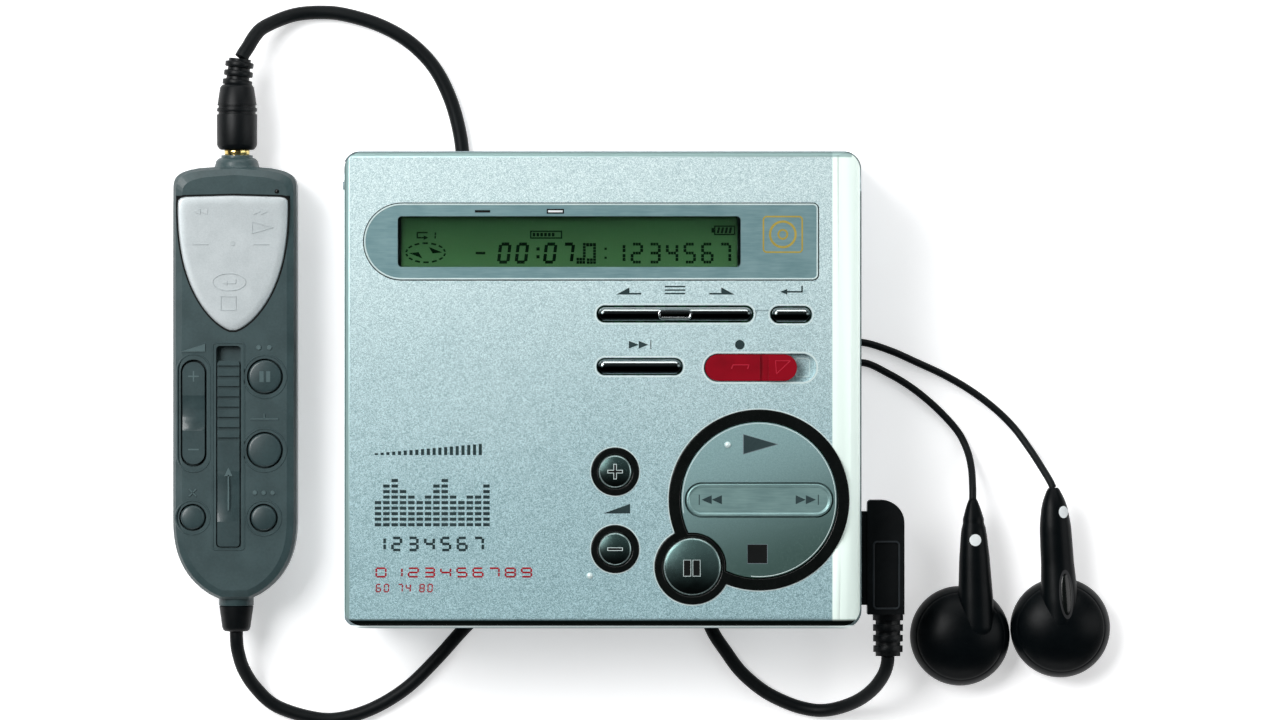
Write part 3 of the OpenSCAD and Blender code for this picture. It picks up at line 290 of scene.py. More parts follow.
def cap_look(name, at, r, light=(62, 86, 84), dark=(5, 10, 9)):
    """A pearly key with painted shade, lighter at its far side and darker towards its near side, and a
    painted highlight as a bright line round its edge.
    """
    look = Look(name, dark, 0.26, 0.6, Specular_IOR_Level=0.3)
    dx, dy = look.x - at[0], look.y - at[1]
    edge = ((dx * dx + dy * dy) ** 0.5).step(r - 0.26, r - 0.17)
    shade = (dy * (0.5 / r) + look.noise(0.6, 2.0) * 0.16 + 0.38).step(0.0, 1.0)
    look.set("Base Color", edge.mix(shade.mix(dark, light), (176, 200, 198)))
    look.set("Roughness", look.noise(1.5, 3.0) * 0.1 + 0.22)
    look.bump(look.noise(5.0, 3.0), 0.0015)
    return look


def chrome_look(name, middle, half):
    """Bright plating with a painted reflection of a horizon: grey above the key's middle line, black
    below it, and a painted highlight along its lower edge.
    """
    look = Look(name, (200, 206, 208), 0.16, 1.0)
    t = (look.y - middle) / half
    streak = look.noise(5.0, 3.0, 0.6, (0.15, 1.0, 1.0))
    above = (t + streak * 0.1).step(0.1, 1.0).mix((84, 96, 96), (214, 222, 222))
    lower = (t + streak * 0.05).step(-0.06, 0.12).mix((6, 9, 9), above)
    look.set("Base Color", t.step(-0.96, -0.84).mix((190, 200, 200), lower))
    look.set("Roughness", streak * 0.08 + 0.12)
    look.bump(streak, 0.0008)
    return look


board_look = Look("solder_mask", (20, 84, 52), 0.35)
track = ((board_look.x * 1.9).sin() * (board_look.y * 2.3).sin()).step(0.2, 0.35)
board_look.set("Base Color", track.mix((16, 70, 44), (30, 104, 62)))
board_look.bump(track, 0.03)

lcd_look = Look("lcd_glass", (60, 92, 62), 0.5, Specular_IOR_Level=0.15)
# Painted shadow of the bezel: the panel darkens towards its top
shade = (lcd_look.y * 0.11 - 2.0).step(0.0, 1.0)
lcd_look.set("Base Color", (shade * 0.85 + lcd_look.noise(0.08, 2.0) * 0.15)
             .mix((88, 128, 84), (52, 82, 54)))
lcd_look.bump(lcd_look.noise(6.0, 2.0), 0.001)

window_look = Look("clear_window", (214, 226, 222), 0.03, Transmission_Weight=1.0, IOR=1.12)
window_look.set("Roughness", window_look.noise(0.5, 3.0) * 0.03 + 0.01)
window_look.bump(window_look.noise(0.2, 2.0), 0.004)

mesh_look = Look("perforated_mesh", (74, 76, 80), 0.35, 0.9)
# Painted shade: the holes of the mesh are dark colour with a bump, not openings
holes = ((mesh_look.x * 5.2).sin() * (mesh_look.y * 5.2).sin()).step(0.15, 0.35)
mesh_look.set("Base Color", holes.mix((96, 98, 102), (10, 10, 11)))
mesh_look.bump(1.0 - holes, 0.08)


# Surfaces

def mesh_piece(name, points, faces, look, body, smooth=True, turn_out=True):
    """Makes a mesh object from arrays of points in millimetres and of faces, at the origin.

    A closed surface whose signed volume is negative has its faces turned round, so that they face
    outward: volume = sum of p0 . (p1 x p2) / 6 over the fan triangles of the faces.
    """
    points = np.asarray(points, float)
    if turn_out:
        volume = 0.0
        for size in {len(f) for f in faces}:
            p = points[np.array([f for f in faces if len(f) == size])]
            for k in range(1, size - 1):
                volume += np.einsum("ij,ij->", p[:, 0], np.cross(p[:, k], p[:, k + 1]))
        if volume < 0:
            faces = [tuple(f)[::-1] for f in faces]
    mesh = bpy.data.meshes.new(name)
    mesh.from_pydata((points * MM).tolist(), [], [tuple(int(i) for i in f) for f in faces])
    mesh.update()
    mesh.polygons.foreach_set("use_smooth", np.full(len(mesh.polygons), smooth))
    obj = bpy.data.objects.new(name, mesh)
    bpy.context.collection.objects.link(obj)
    obj.data.materials.append(look.mat)
    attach(obj, body)
    return obj


def skin(name, rings, look, body, caps=(True, True), loop=False, sharp=40):
    """Joins m rings of n points into one surface: point (i, j) meets (i + 1, j) and (i, j + 1 mod n).

    A cap closes an end ring with one flat face; loop joins the last ring to the first instead.
    Edges steeper than sharp, in degrees, are shaded as such.
    """
    rings = np.asarray(rings, float)
    m, n = rings.shape[:2]
    i, j = np.meshgrid(np.arange(m if loop else m - 1), np.arange(n), indexing="ij")
    a, b = i * n + j, i * n + (j + 1) % n
    c, d = (i + 1) % m * n + (j + 1) % n, (i + 1) % m * n + j
    faces = [tuple(f) for f in np.stack([a, b, c, d], -1).reshape(-1, 4).tolist()]
    if not loop:
        if caps[0]:
            faces.append(tuple(range(n))[::-1])
        if caps[1]:
            faces.append(tuple(range((m - 1) * n, m * n)))
    obj = mesh_piece(name, rings.reshape(-1, 3), faces, look, body)
    obj.data.set_sharp_from_angle(angle=math.radians(sharp))
    return obj


def turned(profile, centre, axis, sides=64):
    """Rings of a lathe shape: a profile of (distance along the axis, radius) turned about the axis.

    Point = centre + s * axis + r * (cos t * u + sin t * v), with u and v square to the axis.
    """
    axis = np.array(axis, float) / np.linalg.norm(axis)
    u = np.cross(axis, [0.3, 0.2, 1.0] if abs(axis[2]) < 0.9 else [1.0, 0.0, 0.0])
    u /= np.linalg.norm(u)
    v = np.cross(axis, u)
    t = np.linspace(0, TAU, sides, endpoint=False)[None, :, None]
    s, r = np.asarray(profile, float).T[:, :, None, None]
    return np.asarray(centre, float) + s * axis + r * (np.cos(t) * u + np.sin(t) * v)


def stadium(centre, size, radius, inset=0.0, sides=16):
    """Outline of a rectangle with round corners of that radius, drawn in by inset, as (n, 2) points.

    Each corner is centre +- (half size - radius) + (radius - inset) * (cos t, sin t).
    """
    w, h = size[0] / 2 - radius, size[1] / 2 - radius
    r = max(radius - inset, 0.01)
    shrink = min(radius - 0.01 - inset, 0.0)
    t = np.linspace(0, math.pi / 2, sides)
    out = []
    for k, (sx, sy) in enumerate([(1, 1), (-1, 1), (-1, -1), (1, -1)]):
        a = t + k * math.pi / 2
        out.append(np.stack([centre[0] + sx * max(w + shrink, 0) + r * np.cos(a),
                             centre[1] + sy * max(h + shrink, 0) + r * np.sin(a)], -1))
    return np.concatenate(out)


def raised(outline, levels):
    """Rings of a flat piece: outline(inset) lifted to z for each (inset, z) in levels."""
    rings = []
    for inset, z in levels:
        xy = outline(inset)
        rings.append(np.column_stack([xy, np.full(len(xy), z)]))
    return np.array(rings)


def crown(z0, z1, top, reach, steps=10, edge=0.12):
    """Levels of a domed key: up the side from z0, round the edge, then along a quarter ellipse.

    inset = edge + (reach - edge) * (1 - cos t), z = z1 + edge + (top - z1 - edge) * sin t,
    for t from 0 to 90 degrees.
    """
    t = np.linspace(0, math.pi / 2, steps)
    inset = edge + (reach - edge) * (1 - np.cos(t))
    z = z1 + edge + (top - z1 - edge) * np.sin(t)
    return [(0.0, z0), (0.0, z1), (edge * 0.3, z1 + edge * 0.7)] + list(zip(inset, z))


def smooth_path(points, spacing):
    """A Catmull-Rom curve through the points, resampled at even steps of about that spacing."""
    p = np.asarray(points, float)
    q = np.vstack([2 * p[0] - p[1], p, 2 * p[-1] - p[-2]])
    u = np.linspace(0, 1, 9)[:-1, None, None]
    a, b, c, d = q[:-3], q[1:-2], q[2:-1], q[3:]
    curve = 0.5 * (2 * b + (c - a) * u + (2 * a - 5 * b + 4 * c - d) * u ** 2
                   + (3 * b - a - 3 * c + d) * u ** 3)
    curve = np.vstack([curve.transpose(1, 0, 2).reshape(-1, 3), p[-1]])
    run = np.concatenate([[0], np.cumsum(np.linalg.norm(np.diff(curve, axis=0), axis=1))])
    s = np.linspace(0, run[-1], max(int(run[-1] / spacing), 2) + 1)
    return np.stack([np.interp(s, run, curve[:, k]) for k in range(3)], -1)


def tube(path, radius, sides=16):
    """Rings of a round tube: path(s) + r * (cos t * side + sin t * up), with side square to z."""
    tangent = np.gradient(path, axis=0)
    tangent /= np.linalg.norm(tangent, axis=1)[:, None]
    side = np.cross(tangent, [0, 0, 1.0])
    side /= np.linalg.norm(side, axis=1)[:, None]
    up = np.cross(side, tangent)
    t = np.linspace(0, TAU, sides, endpoint=False)[None, :, None]
    r = np.broadcast_to(np.asarray(radius, float), len(path))[:, None, None]
    return path[:, None] + r * (np.cos(t) * side[:, None] + np.sin(t) * up[:, None])


def marks(name, polygons, z, look, body, thick=0.0, soft=0.0):
    """Flat printed marks: polygons of (x, y) points at height z, or prisms where thick is set.

    With soft, the top of a prism is drawn in towards its middle by that much, so its sides slope.
    """
    points, faces = [], []
    for poly in polygons:
        poly = np.asarray(poly, float)
        if np.sum(poly[:, 0] * np.roll(poly[:, 1], -1) - np.roll(poly[:, 0], -1) * poly[:, 1]) < 0:
            poly = poly[::-1]
        k, n = len(points), len(poly)
        if thick:
            out = poly - np.roll(poly, 1, 0)
            out /= np.linalg.norm(out, axis=1)[:, None]
            inward = np.roll(out, -1, 0) - out
            top = poly + soft * inward
            points += [(x, y, z) for x, y in poly] + [(x, y, z + thick) for x, y in top]
            faces += [tuple(range(k, k + n))[::-1], tuple(range(k + n, k + 2 * n))]
            faces += [(k + i, k + (i + 1) % n, k + n + (i + 1) % n, k + n + i) for i in range(n)]
        else:
            points += [(x, y, z) for x, y in poly]
            faces.append(tuple(range(k, k + n)))
    return mesh_piece(name, points, faces, look, body, smooth=False, turn_out=False)


def bead(name, outline, inset, w, z, h, look, body):
    """A closed ridge between two insets of an outline, w wide and h high, with sloping sides."""
    shape = [(0.0, -0.05), (0.04, 0.0), (0.28, h), (0.72, h), (0.96, 0.0), (1.0, -0.05)]
    levels = [(inset + part * w, z + rise) for part, rise in shape]
    return skin(name, raised(outline, levels), look, body, caps=(False, False), loop=True)


def bar(x0, y0, x1, y1):
    """An upright rectangle between two corners."""
    return [(x0, y0), (x1, y0), (x1, y1), (x0, y1)]


def line(a, b, w):
    """A straight stroke of width w from a to b."""
    a, b = np.array(a, float), np.array(b, float)
    n = np.array([a[1] - b[1], b[0] - a[0]])
    n *= w / 2 / np.linalg.norm(n)
    return [a + n, a - n, b - n, b + n]


def ring(centre, rx, ry, w, start=0.0, stop=360.0, n=32, dash=1.0):
    """Strokes of width w along an ellipse from start to stop degrees, each filling dash of its step."""
    a = np.radians(np.linspace(start, stop, n + 1))
    out = []
    for k in range(n):
        first, last = a[k], a[k] + (a[k + 1] - a[k]) * dash
        corners = [(w / 2, first), (w / 2, last), (-w / 2, last), (-w / 2, first)]
        out.append([(centre[0] + (rx + off) * math.cos(t), centre[1] + (ry + off) * math.sin(t))
                    for off, t in corners])
    return out


def frame_line(x0, y0, x1, y1, w):
    """The four strokes of a rectangle."""
    return [bar(x0, y0, x1, y0 + w), bar(x0, y1 - w, x1, y1),
            bar(x0, y0 + w, x0 + w, y1 - w), bar(x1 - w, y0 + w, x1, y1 - w)]


def disc(centre, r, n=32):
    """Points of a full circle."""
    t = np.linspace(0, TAU, n, endpoint=False)
    return np.stack([centre[0] + r * np.cos(t), centre[1] + r * np.sin(t)], -1)


SEGMENTS = {"0": "abcdef", "1": "bc", "2": "abged", "3": "abgcd", "4": "fgbc", "5": "afgcd",
            "6": "afgedc", "7": "abc", "8": "abcdefg", "9": "abfgcd"}


def digits(text, x, y, w, h, pitch, t, slant=0.06):
    """Seven-segment figures from the lower left corner (x, y), as slightly slanted bars."""
    g = t * 0.25
    low, mid, high = g + t / 2, h / 2, h - g - t / 2
    left, right = g + t / 2, w - g - t / 2
    places = {"a": bar(left, h - t, right, h), "g": bar(left, mid - t / 2, right, mid + t / 2),
              "d": bar(left, 0, right, t), "f": bar(0, mid + g, t, high),
              "b": bar(w - t, mid + g, w, high), "e": bar(0, low, t, mid - g),
              "c": bar(w - t, low, w, mid - g)}
    polys = []
    for sign in text:
        if sign == ":":
            dot = x + w * 0.35
            polys += [bar(dot, y + h * k, dot + t, y + h * k + t) for k in (0.25, 0.62)]
            x += pitch * 0.6
            continue
        for s in SEGMENTS[sign]:
            polys.append([(x + px + slant * py, y + py) for px, py in places[s]])
        x += pitch
    return polys


def dotted(polys, cell, fill):
    """The same figures made of dots: each bar is cut into cells, and a dot fills its share of one."""
    out = []
    for poly in polys:
        p = np.array(poly)
        lo, hi = p.min(0), p.max(0)
        k = np.maximum(np.round((hi - lo) / cell).astype(int), 1)
        size = (hi - lo) / k
        for i in range(k[0]):
            for j in range(k[1]):
                a = lo + size * (i, j) + size * (1 - fill) / 2
                out.append(bar(*a, *(a + size * fill)))
    return out


# Camera, straight above, and cords

camera = bpy.data.objects.new("camera", bpy.data.cameras.new("camera"))
bpy.context.collection.objects.link(camera)
bpy.context.scene.camera = camera
camera.location = (0.00584, 0.00452, 1.4279)
camera.data.sensor_width = 36
camera.data.lens = 36 * 1400 / 199.4
camera.data.clip_start, camera.data.clip_end = 0.05, 20
camera.data.dof.use_dof = False


def coil(at, d, start, turns, way):
    """Centreline of a two-layer coil that spirals in below and out above, with straight ends.

    r = 5.5 d + turns * pitch / 4 - pitch * min(t, turns - t), angle = start + way * 360 t,
    z = d / 2 + 0.05 + lift * (d + 0.45), lift rising from 0 to 1 within the middle half turn.
    """
    pitch = d + 0.5
    n = round(turns * 24)
    t = turns * np.arange(n + 1) / n

    def point(t):
        t = np.atleast_1d(t)
        r = 5.5 * d + turns * pitch / 4 - pitch * np.minimum(t, turns - t)
        a = np.radians(start + way * 360 * t)
        lift = np.clip((t - turns / 2) * 2 + 0.5, 0, 1)
        z = d / 2 + 0.05 + lift * (d + 0.45)
        return np.stack([at[0] + r * np.cos(a), at[1] + r * np.sin(a), z], -1)

    p = point(t)
    first, last = point(0.002)[0] - p[0], p[-1] - point(turns - 0.002)[0]
    first, last = first / np.linalg.norm(first), last / np.linalg.norm(last)
    return np.vstack([p[0] - d * first, p, p[-1] + d * last])


plug_end_route = [[44.9, -42.1, 12], [44.8, -43.4, 11.7], [44.2, -45.2, 10.6], [42.7, -47.4, 8.5],
    [40.4, -49.3, 5.8], [37.4, -50.6, 3.2], [34.5, -51.1, 1.7], [31.6, -50.7, 1.1], [28.7, -49.7, 1.1],
    [25.3, -47.9, 1.1], [21.9, -45, 1.1], [19.5, -41.8, 1.1], [17.2, -38.2, 1.1], [15.7, -33.5, 1.1],
    [14.8, -28.5, 1.1], [14.6, -24.3, 1.1]]
free_route = [[-14.7, -24.6, 3.5], [-15.3, -28.5, 2.6], [-17, -32.2, 1.6], [-19.3, -35.4, 1.1],
    [-22.2, -38.2, 1.1], [-26.6, -43.1, 1.1], [-31.3, -47.6, 1.1], [-36.6, -50.8, 1.1],
    [-41.9, -52.4, 1.1], [-46.4, -52.2, 1.1], [-51.9, -50.4, 1.2], [-55.1, -47.5, 2.2],
    [-57, -44.4, 3.9], [-57.8, -41.5, 5.6], [-57.98, -39.7, 6.3], [-58, -38.4, 6.4]]
upper_route = [[-57.2, 52.35, 6.4], [-56.8, 53.1, 6.2], [-56.2, 54, 5.9], [-55.3, 55.6, 5.1],
    [-54, 57.1, 4], [-51.3, 58.5, 2.6], [-48.5, 59.4, 1.7], [-45, 59.7, 1.2], [-41.3, 59.4, 1.15],
    [-35.8, 57.8, 1.15], [-30.9, 55.1, 1.15], [-27, 51.2, 1.15], [-24.4, 46.3, 1.15],
    [-22.8, 40.7, 1.15], [-22.1, 35, 1.15], [-21.7, 29.5, 1.15], [-21.3, 24.4, 1.15],
    [-20.2, 20.2, 1.15], [-18.6, 17.9, 1.15]]
tail_route = [[-17.7, 17.9, 3.8], [-14.5, 16.9, 3.4], [-11.9, 15.4, 2.5], [-9.8, 14.6, 1.8],
    [-7.53, 14.5, 1.7]]
right_route = [[1.5, 15.4, 1.7], [4.4, 15.5, 1.2], [8.8, 15.3, 0.65], [13.2, 14.1, 0.65],
    [16.9, 11.4, 0.65], [19, 7.3, 0.65], [19.7, 2.7, 0.65], [20.2, -1.9, 0.65], [21.9, -6.1, 0.65],
    [25.4, -8.9, 0.65], [29.6, -8.2, 0.65], [32.3, -4.6, 0.65], [33.4, -0.2, 0.65], [34.6, 4, 0.65],
    [37.4, 7, 0.65], [41.2, 7.3, 0.65], [45.6, 6, 0.65], [49.9, 4.1, 0.65], [54, 2.2, 0.65],
    [58, -0.1, 0.65], [61.8, -2.9, 0.65], [65.1, -6.1, 0.8], [67.8, -9.8, 2.1], [69.6, -12.7, 4.1],
    [70.7, -14.6, 5.3], [71.2, -15.7, 5.6]]
left_route = [[1.5, 13.2, 1.7], [4.4, 13.1, 1.2], [8.6, 12.8, 0.65], [12.6, 11.5, 0.65],
    [15.5, 8.6, 0.65], [16.8, 4.4, 0.65], [17.2, -0.2, 0.65], [17.9, -4.9, 0.65], [20.1, -9.1, 0.65],
    [24, -11.9, 0.65], [28.7, -12, 0.65], [32.7, -9.6, 0.65], [35.2, -5.6, 0.65], [36.2, -1.3, 0.65],
    [37.8, 2.7, 0.65], [41.2, 4.1, 0.65], [45.4, 2.3, 0.65], [49.3, -0.1, 0.65], [53, -3.2, 0.65],
    [56.2, -6.7, 0.65], [57.7, -9.6, 1.3], [58.35, -12.4, 3.1], [58.5, -15.4, 5.1], [58.5, -17.5, 5.6]]

remote_coil = coil((0, -20), 2.1, 0, 4.5, 1)
trunk_coil = coil((-22.5, 3), 2.2, 60, 4 - 30 / 360, -1)
CORDS = [
    ("remote_lead", np.vstack([plug_end_route, remote_coil, free_route])[::-1], 2.1,
     ["remote_cord_plug_end", "remote_cord_coil", "remote_cord_free"]),
    ("earphone_lead", np.vstack([upper_route, trunk_coil, tail_route]), 2.2,
     ["earphone_cord_upper", "earphone_cord_coil", "earphone_cord_tail"]),
    ("right_branch", np.array(right_route), 1.15, ["bud_cord_right"]),
    ("left_branch", np.array(left_route), 1.15, ["bud_cord_left"]),
]
cords = {}
for name, route, d, nodes in CORDS:
    path = smooth_path(route, d * 0.35)
    piece = skin(name, tube(path, d / 2), cord_look, "player")
    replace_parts(piece, *nodes)
    cords[name] = (piece, path, d)


def coil_tie(name, at, angle, r0, r1, z0, z1):
    """A band round a coil's bundle: a rounded rectangle across the turns, 0.25 mm thick.

    The rectangle lies in the plane of the radius at angle and is swept 1.2 mm to both sides of it.
    """
    a = math.radians(angle)
    out, side = np.array([math.cos(a), math.sin(a), 0]), np.array([-math.sin(a), math.cos(a), 0])
    outer = stadium(((r0 + r1) / 2, (z0 + z1) / 2), (r1 - r0, z1 - z0), 0.9)
    inner = stadium(((r0 + r1) / 2, (z0 + z1) / 2), (r1 - r0 - 0.5, z1 - z0 - 0.5), 0.65)
    sections = []
    for xy, s in ((outer, -1.2), (outer, 1.2), (inner, 1.2), (inner, -1.2)):
        sections.append(np.array([*at, 0]) + xy[:, :1] * out + xy[:, 1:] * [[0, 0, 1]] + s * side)
    return skin(name, sections, tie_look, "player", loop=True)


remote_tie = coil_tie("remote_lead_tie", (0, -20), 90, 8.1, 15.9, 0.01, 4.95)
trunk_tie = coil_tie("earphone_lead_tie", (-22.5, 3), 250, 8.9, 16.4, 0.01, 5.15)


# Plugs and sleeves on the cords

def sleeve(r0, r1, start, stop, ribs, groove=0.42, gap=0.4):
    """Profile of a ribbed relief: a rib fills the share 1 - gap of its step, then dips by groove."""
    step = (stop - start) / ribs
    rib = [(0.0, groove), (0.06, 0.08), (0.14, 0.0),
           (0.92 - gap, 0.0), (1 - gap, 0.08), (1.06 - gap, groove)]
    out = []
    for k in range(ribs):
        r = r0 + (r1 - r0) * k / max(ribs - 1, 1)
        out += [(start + (k + part) * step, r - dip) for part, dip in rib]
    return out + [(stop, r1 - groove)]


def moulded(name, profile, centre, axis, look=sleeve_look, sides=64):
    """A turned piece on the player's body, closed by its own profile."""
    rings = turned(profile, centre, axis, sides)
    return skin(name, rings, look, "player", caps=(False, False))


PLUG_X, CORD_Z = -57.9, 6.4
plug_profile = [
    (37.75, 0.0), (37.75, 2.5), (37.85, 2.75), (38.3, 3.1), (38.6, 3.18), (43.2, 3.2), (43.38, 3.15),
    (43.42, 2.95), (43.78, 2.95), (43.82, 3.15), (44.0, 3.2), (44.38, 3.15), (44.42, 2.95),
    (44.78, 2.95), (44.82, 3.12), (45.2, 3.05), (47.6, 2.7), (47.95, 2.45), (48.1, 2.2), (48.1, 0.0)]
plug_body = moulded("earphone_plug_body", plug_profile, (PLUG_X, 0, CORD_Z), (0, 1, 0))
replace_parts(plug_body, "earphone_plug")
lean = math.radians(6.5)
plug_sleeve = moulded("earphone_plug_sleeve",
                      [(0.0, 0.0)] + sleeve(2.35, 2.25, 0.0, 4.3, 3, 0.5, 0.36) + [(4.3, 0.0)],
                      (PLUG_X, 47.9, CORD_Z), (math.sin(lean), math.cos(lean), 0))
plug_pin = moulded("earphone_plug_pin", [
    (23.4, 0.0), (23.6, 0.7), (24.4, 1.35), (25.6, 1.72), (26.6, 1.2), (27.6, 1.72), (28.8, 1.75),
    (28.85, 1.6), (29.3, 1.6), (29.35, 1.75), (31.6, 1.75), (31.65, 1.6), (32.1, 1.6), (32.15, 1.75),
    (36.95, 1.75), (36.96, 1.95), (37.05, 2.0), (37.7, 2.0), (37.8, 1.95), (37.8, 0.0)],
    (PLUG_X, 0, CORD_Z), (0, 1, 0), gold_look, 48)
relief = moulded("remote_relief_collar", [
    (31.2, 0.0), (31.2, 1.55), (34.34, 1.55), (34.35, 2.6), (34.45, 2.7), (37.7, 2.24), (38.1, 2.1),
    (38.35, 1.8), (38.4, 1.4), (38.4, 0.0)], (-58.0, 0, CORD_Z), (0, -1, 0))
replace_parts(relief, "remote_strain_relief")
splitter = skin("splitter_shell", raised(lambda i: stadium((-3, 14.3), (9, 5.4), 1.2, i), [
    (0.5, 0.05), (0.15, 0.2), (0, 0.6), (0, 2.8), (0.15, 3.2), (0.5, 3.35)]),
    sleeve_look, "player")
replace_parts(splitter, "cord_splitter")
# The bead along the plug's panel carries a painted highlight
plug_panel = bead("player_plug_panel_edge", lambda i: stadium((44.57, -29.3), (4.3, 10.8), 0.7, i),
                  0, 0.3, 15.4, 0.06, plug_edge_highlight_look, "player")

piece, path, d = cords["remote_lead"]
piece, path, d = cords["earphone_lead"]
piece, path, d = cords["right_branch"]
piece, path, d = cords["left_branch"]


# Keys on the lid

PAD_AT = (24.4, -17.3)
PAUSE_AT, PAUSE_R = (14, -27.7), 4.5
KEY_AT = {"vol_up_button": (1.96, -12.87), "vol_down_button": (1.96, -24.95)}
KEY_R = 2.575
# Middle and size of each bar key
MENU, ENTER, SEARCH = ((11.3, 11.7), (24, 2.1)), ((29.4, 11.6), (6.1, 2.2)), ((5.8, 3.5), (13.1, 2.3))


def dome(name, at, r, z0, z1, top, look, body):
    """A round key: a wall up to z1, a small edge, then z = top - (top - z1 - 0.25) * (q / r)^2."""
    q = np.linspace(r - 0.22, 0.02, 14)
    arc = [(top - (top - z1 - 0.25) * (v / r) ** 2, v) for v in q]
    profile = [(z0, 0.0), (z0, r), (z1, r), (z1 + 0.13, r - 0.04), (z1 + 0.22, r - 0.12)] + arc
    rings = turned(profile, (*at, 0), (0, 0, 1), 72)
    return skin(name, rings, look, body, caps=(False, False))


def bar_key(name, node, place, z0, top):
    """A half-round bar key with full round ends."""
    at, size = place
    half = size[1] / 2
    levels = crown(z0, top - 0.75, top, half - 0.12, 14)
    rings = raised(lambda i: stadium(at, size, half - 0.02, i), levels)
    key = skin(name, rings, chrome_look(name + "_plating", at[1], half), node, sharp=60)
    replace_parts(key, node)


bar_key("menu_bar", "menu_rocker", MENU, 26.4, 27.6)
bar_key("enter_bar", "enter_button", ENTER, 25.5, 27.55)
bar_key("search_bar", "end_search_button", SEARCH, 25.5, 27.55)
skin("menu_bead", raised(lambda i: stadium((11.3, 11.62), (5.4, 1.6), 0.75, i), [
    (0, 27.1), (0, 27.55), (0.1, 27.7), (0.24, 27.74), (0.38, 27.68), (0.44, 27.5), (0.46, 27.3)]),
    bead_look, "menu_rocker")


def cross(at, reach, gap, w, upright):
    """The strokes of a minus, or of a plus whose upright leaves a gap at the middle."""
    x, y = at
    strokes = [line((x - reach, y), (x + reach, y), w)]
    if upright:
        strokes += [line((x, y - reach), (x, y - gap), w), line((x, y + gap), (x, y + reach), w)]
    return strokes


# Each volume key: a cap with painted shade, and a painted highlight round its black sign
for node, at in KEY_AT.items():
    shaded_pearl = cap_look(node + "_pearl", at, KEY_R)
    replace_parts(dome(node + "_cap", at, KEY_R, 25.45, 27.1, 27.72, shaded_pearl, node), node)
    plus = "up" in node
    marks(node + "_mark_edge", cross(at, 1.2, 0.26, 0.52, plus), 27.62, painted_highlight_look, node, 0.11)
    marks(node + "_mark", cross(at, 1.1, 0.17, 0.34, plus), 27.735, black_ink, node, 0.005)
# The pause key: a cap with painted shade, and a painted highlight round its black bars
shaded_pearl = cap_look("pause_pearl", PAUSE_AT, PAUSE_R, (86, 114, 112))
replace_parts(dome("pause_cap", PAUSE_AT, PAUSE_R, 25.5, 27.05, 27.8, shaded_pearl, "pause_button"),
            "pause_button")
marks("pause_mark_edge", [bar(12.58, -29.2, 13.8, -26.62), bar(14.04, -29.2, 15.26, -26.62)],
      27.7, painted_highlight_look, "pause_button", 0.125)
marks("pause_mark", [bar(12.66, -29.12, 13.72, -26.68), bar(14.12, -29.12, 15.18, -26.68)],
      27.8, black_ink, "pause_button", 0.035)

skip = skin("skip_bar_plate", raised(lambda i: stadium(PAD_AT, (22.7, 5.1), 2.5, i), [
    (0.1, 27.0), (0, 27.1), (0, 27.5), (0.05, 27.6), (0.14, 27.68), (0.26, 27.7), (0.38, 27.68),
    (0.48, 27.6), (0.55, 27.55), (0.7, 27.55)]), bar_look, "skip_bar", sharp=50)
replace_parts(skip, "skip_bar")


def skip_mark(x0, x1, y0, y1):
    """Two triangles and a bar, pointing from x0 to x1."""
    w = x1 - x0
    a, b, c = x0, x0 + w * 0.44, x0 + w * 0.88
    middle = (y0 + y1) / 2
    stop = x1 - 0.14 * np.sign(w)
    end = [(stop, y0 - 0.1), (x1, y0 - 0.1), (x1, y1 + 0.1), (stop, y1 + 0.1)]
    return [[(a, y0), (b, middle), (a, y1)], [(b, y0), (c, middle), (b, y1)], end]


def pad_marks(name, polygons, z, look):
    """Printed marks on the round control pad."""
    marks(name, polygons, z, look, "control_pad")


marks("skip_marks", skip_mark(18.6, 15.0, -17.95, -16.55) + skip_mark(30.1, 33.7, -17.95, -16.55),
      27.56, dark_ink, "skip_bar")
# A painted highlight line round the pad's edge
pad_marks("pad_edge_line", ring(PAD_AT, 11.93, 11.93, 0.1, -96, 190, 120), 27.507, painted_highlight_look)
pad_marks("play_mark_edge", [[(21.9, -10.22), (27.45, -8.62), (21.9, -7.02)]], 27.508, trim_look)
pad_marks("play_mark", [[(22.0, -10.1), (27.2, -8.6), (22.0, -7.1)]], 27.515, dark_ink)
pad_marks("stop_mark_edge", [bar(22.56, -27.22, 25.72, -24.2)], 27.512, trim_look)
pad_marks("stop_mark", [bar(22.6, -27.15, 25.65, -24.25)], 27.52, black_ink)
# Small raised dots on the pad and the lid, coloured as painted highlights
for name, at, z, body in (("pad_dot", (19.5, -8.7), 27.45, "control_pad"),
                          ("lid_dot", (-2.0, -29.1), 27.15, "lid")):
    dot = [(z + 0.42 * math.sin(a), 0.52 * math.cos(a)) for a in np.linspace(0, 1.55, 8)]
    skin(name, turned(dot, (*at, 0), (0, 0, 1), 24), painted_highlight_look, body, caps=(True, False))
marks("rec_mark", [line((20.1, 3.1), (20.35, 3.75), 0.22), line((20.3, 3.75), (22.8, 3.75), 0.22),
                   line((22.85, 3.8), (22.6, 3.1), 0.22)],
      27.36, red_relief_highlight_look, "rec_slider", 0.14, 0.05)
marks("rec_arrow", [line((26.9, 4.4), (29.3, 4.4), 0.16), line((26.95, 4.4), (27.1, 2.3), 0.16),
                    line((27.1, 2.35), (29.2, 4.35), 0.16)],
      27.76, red_relief_highlight_look, "rec_slider", 0.08, 0.03)

# Printing on the lid: plain pictograms and numbers

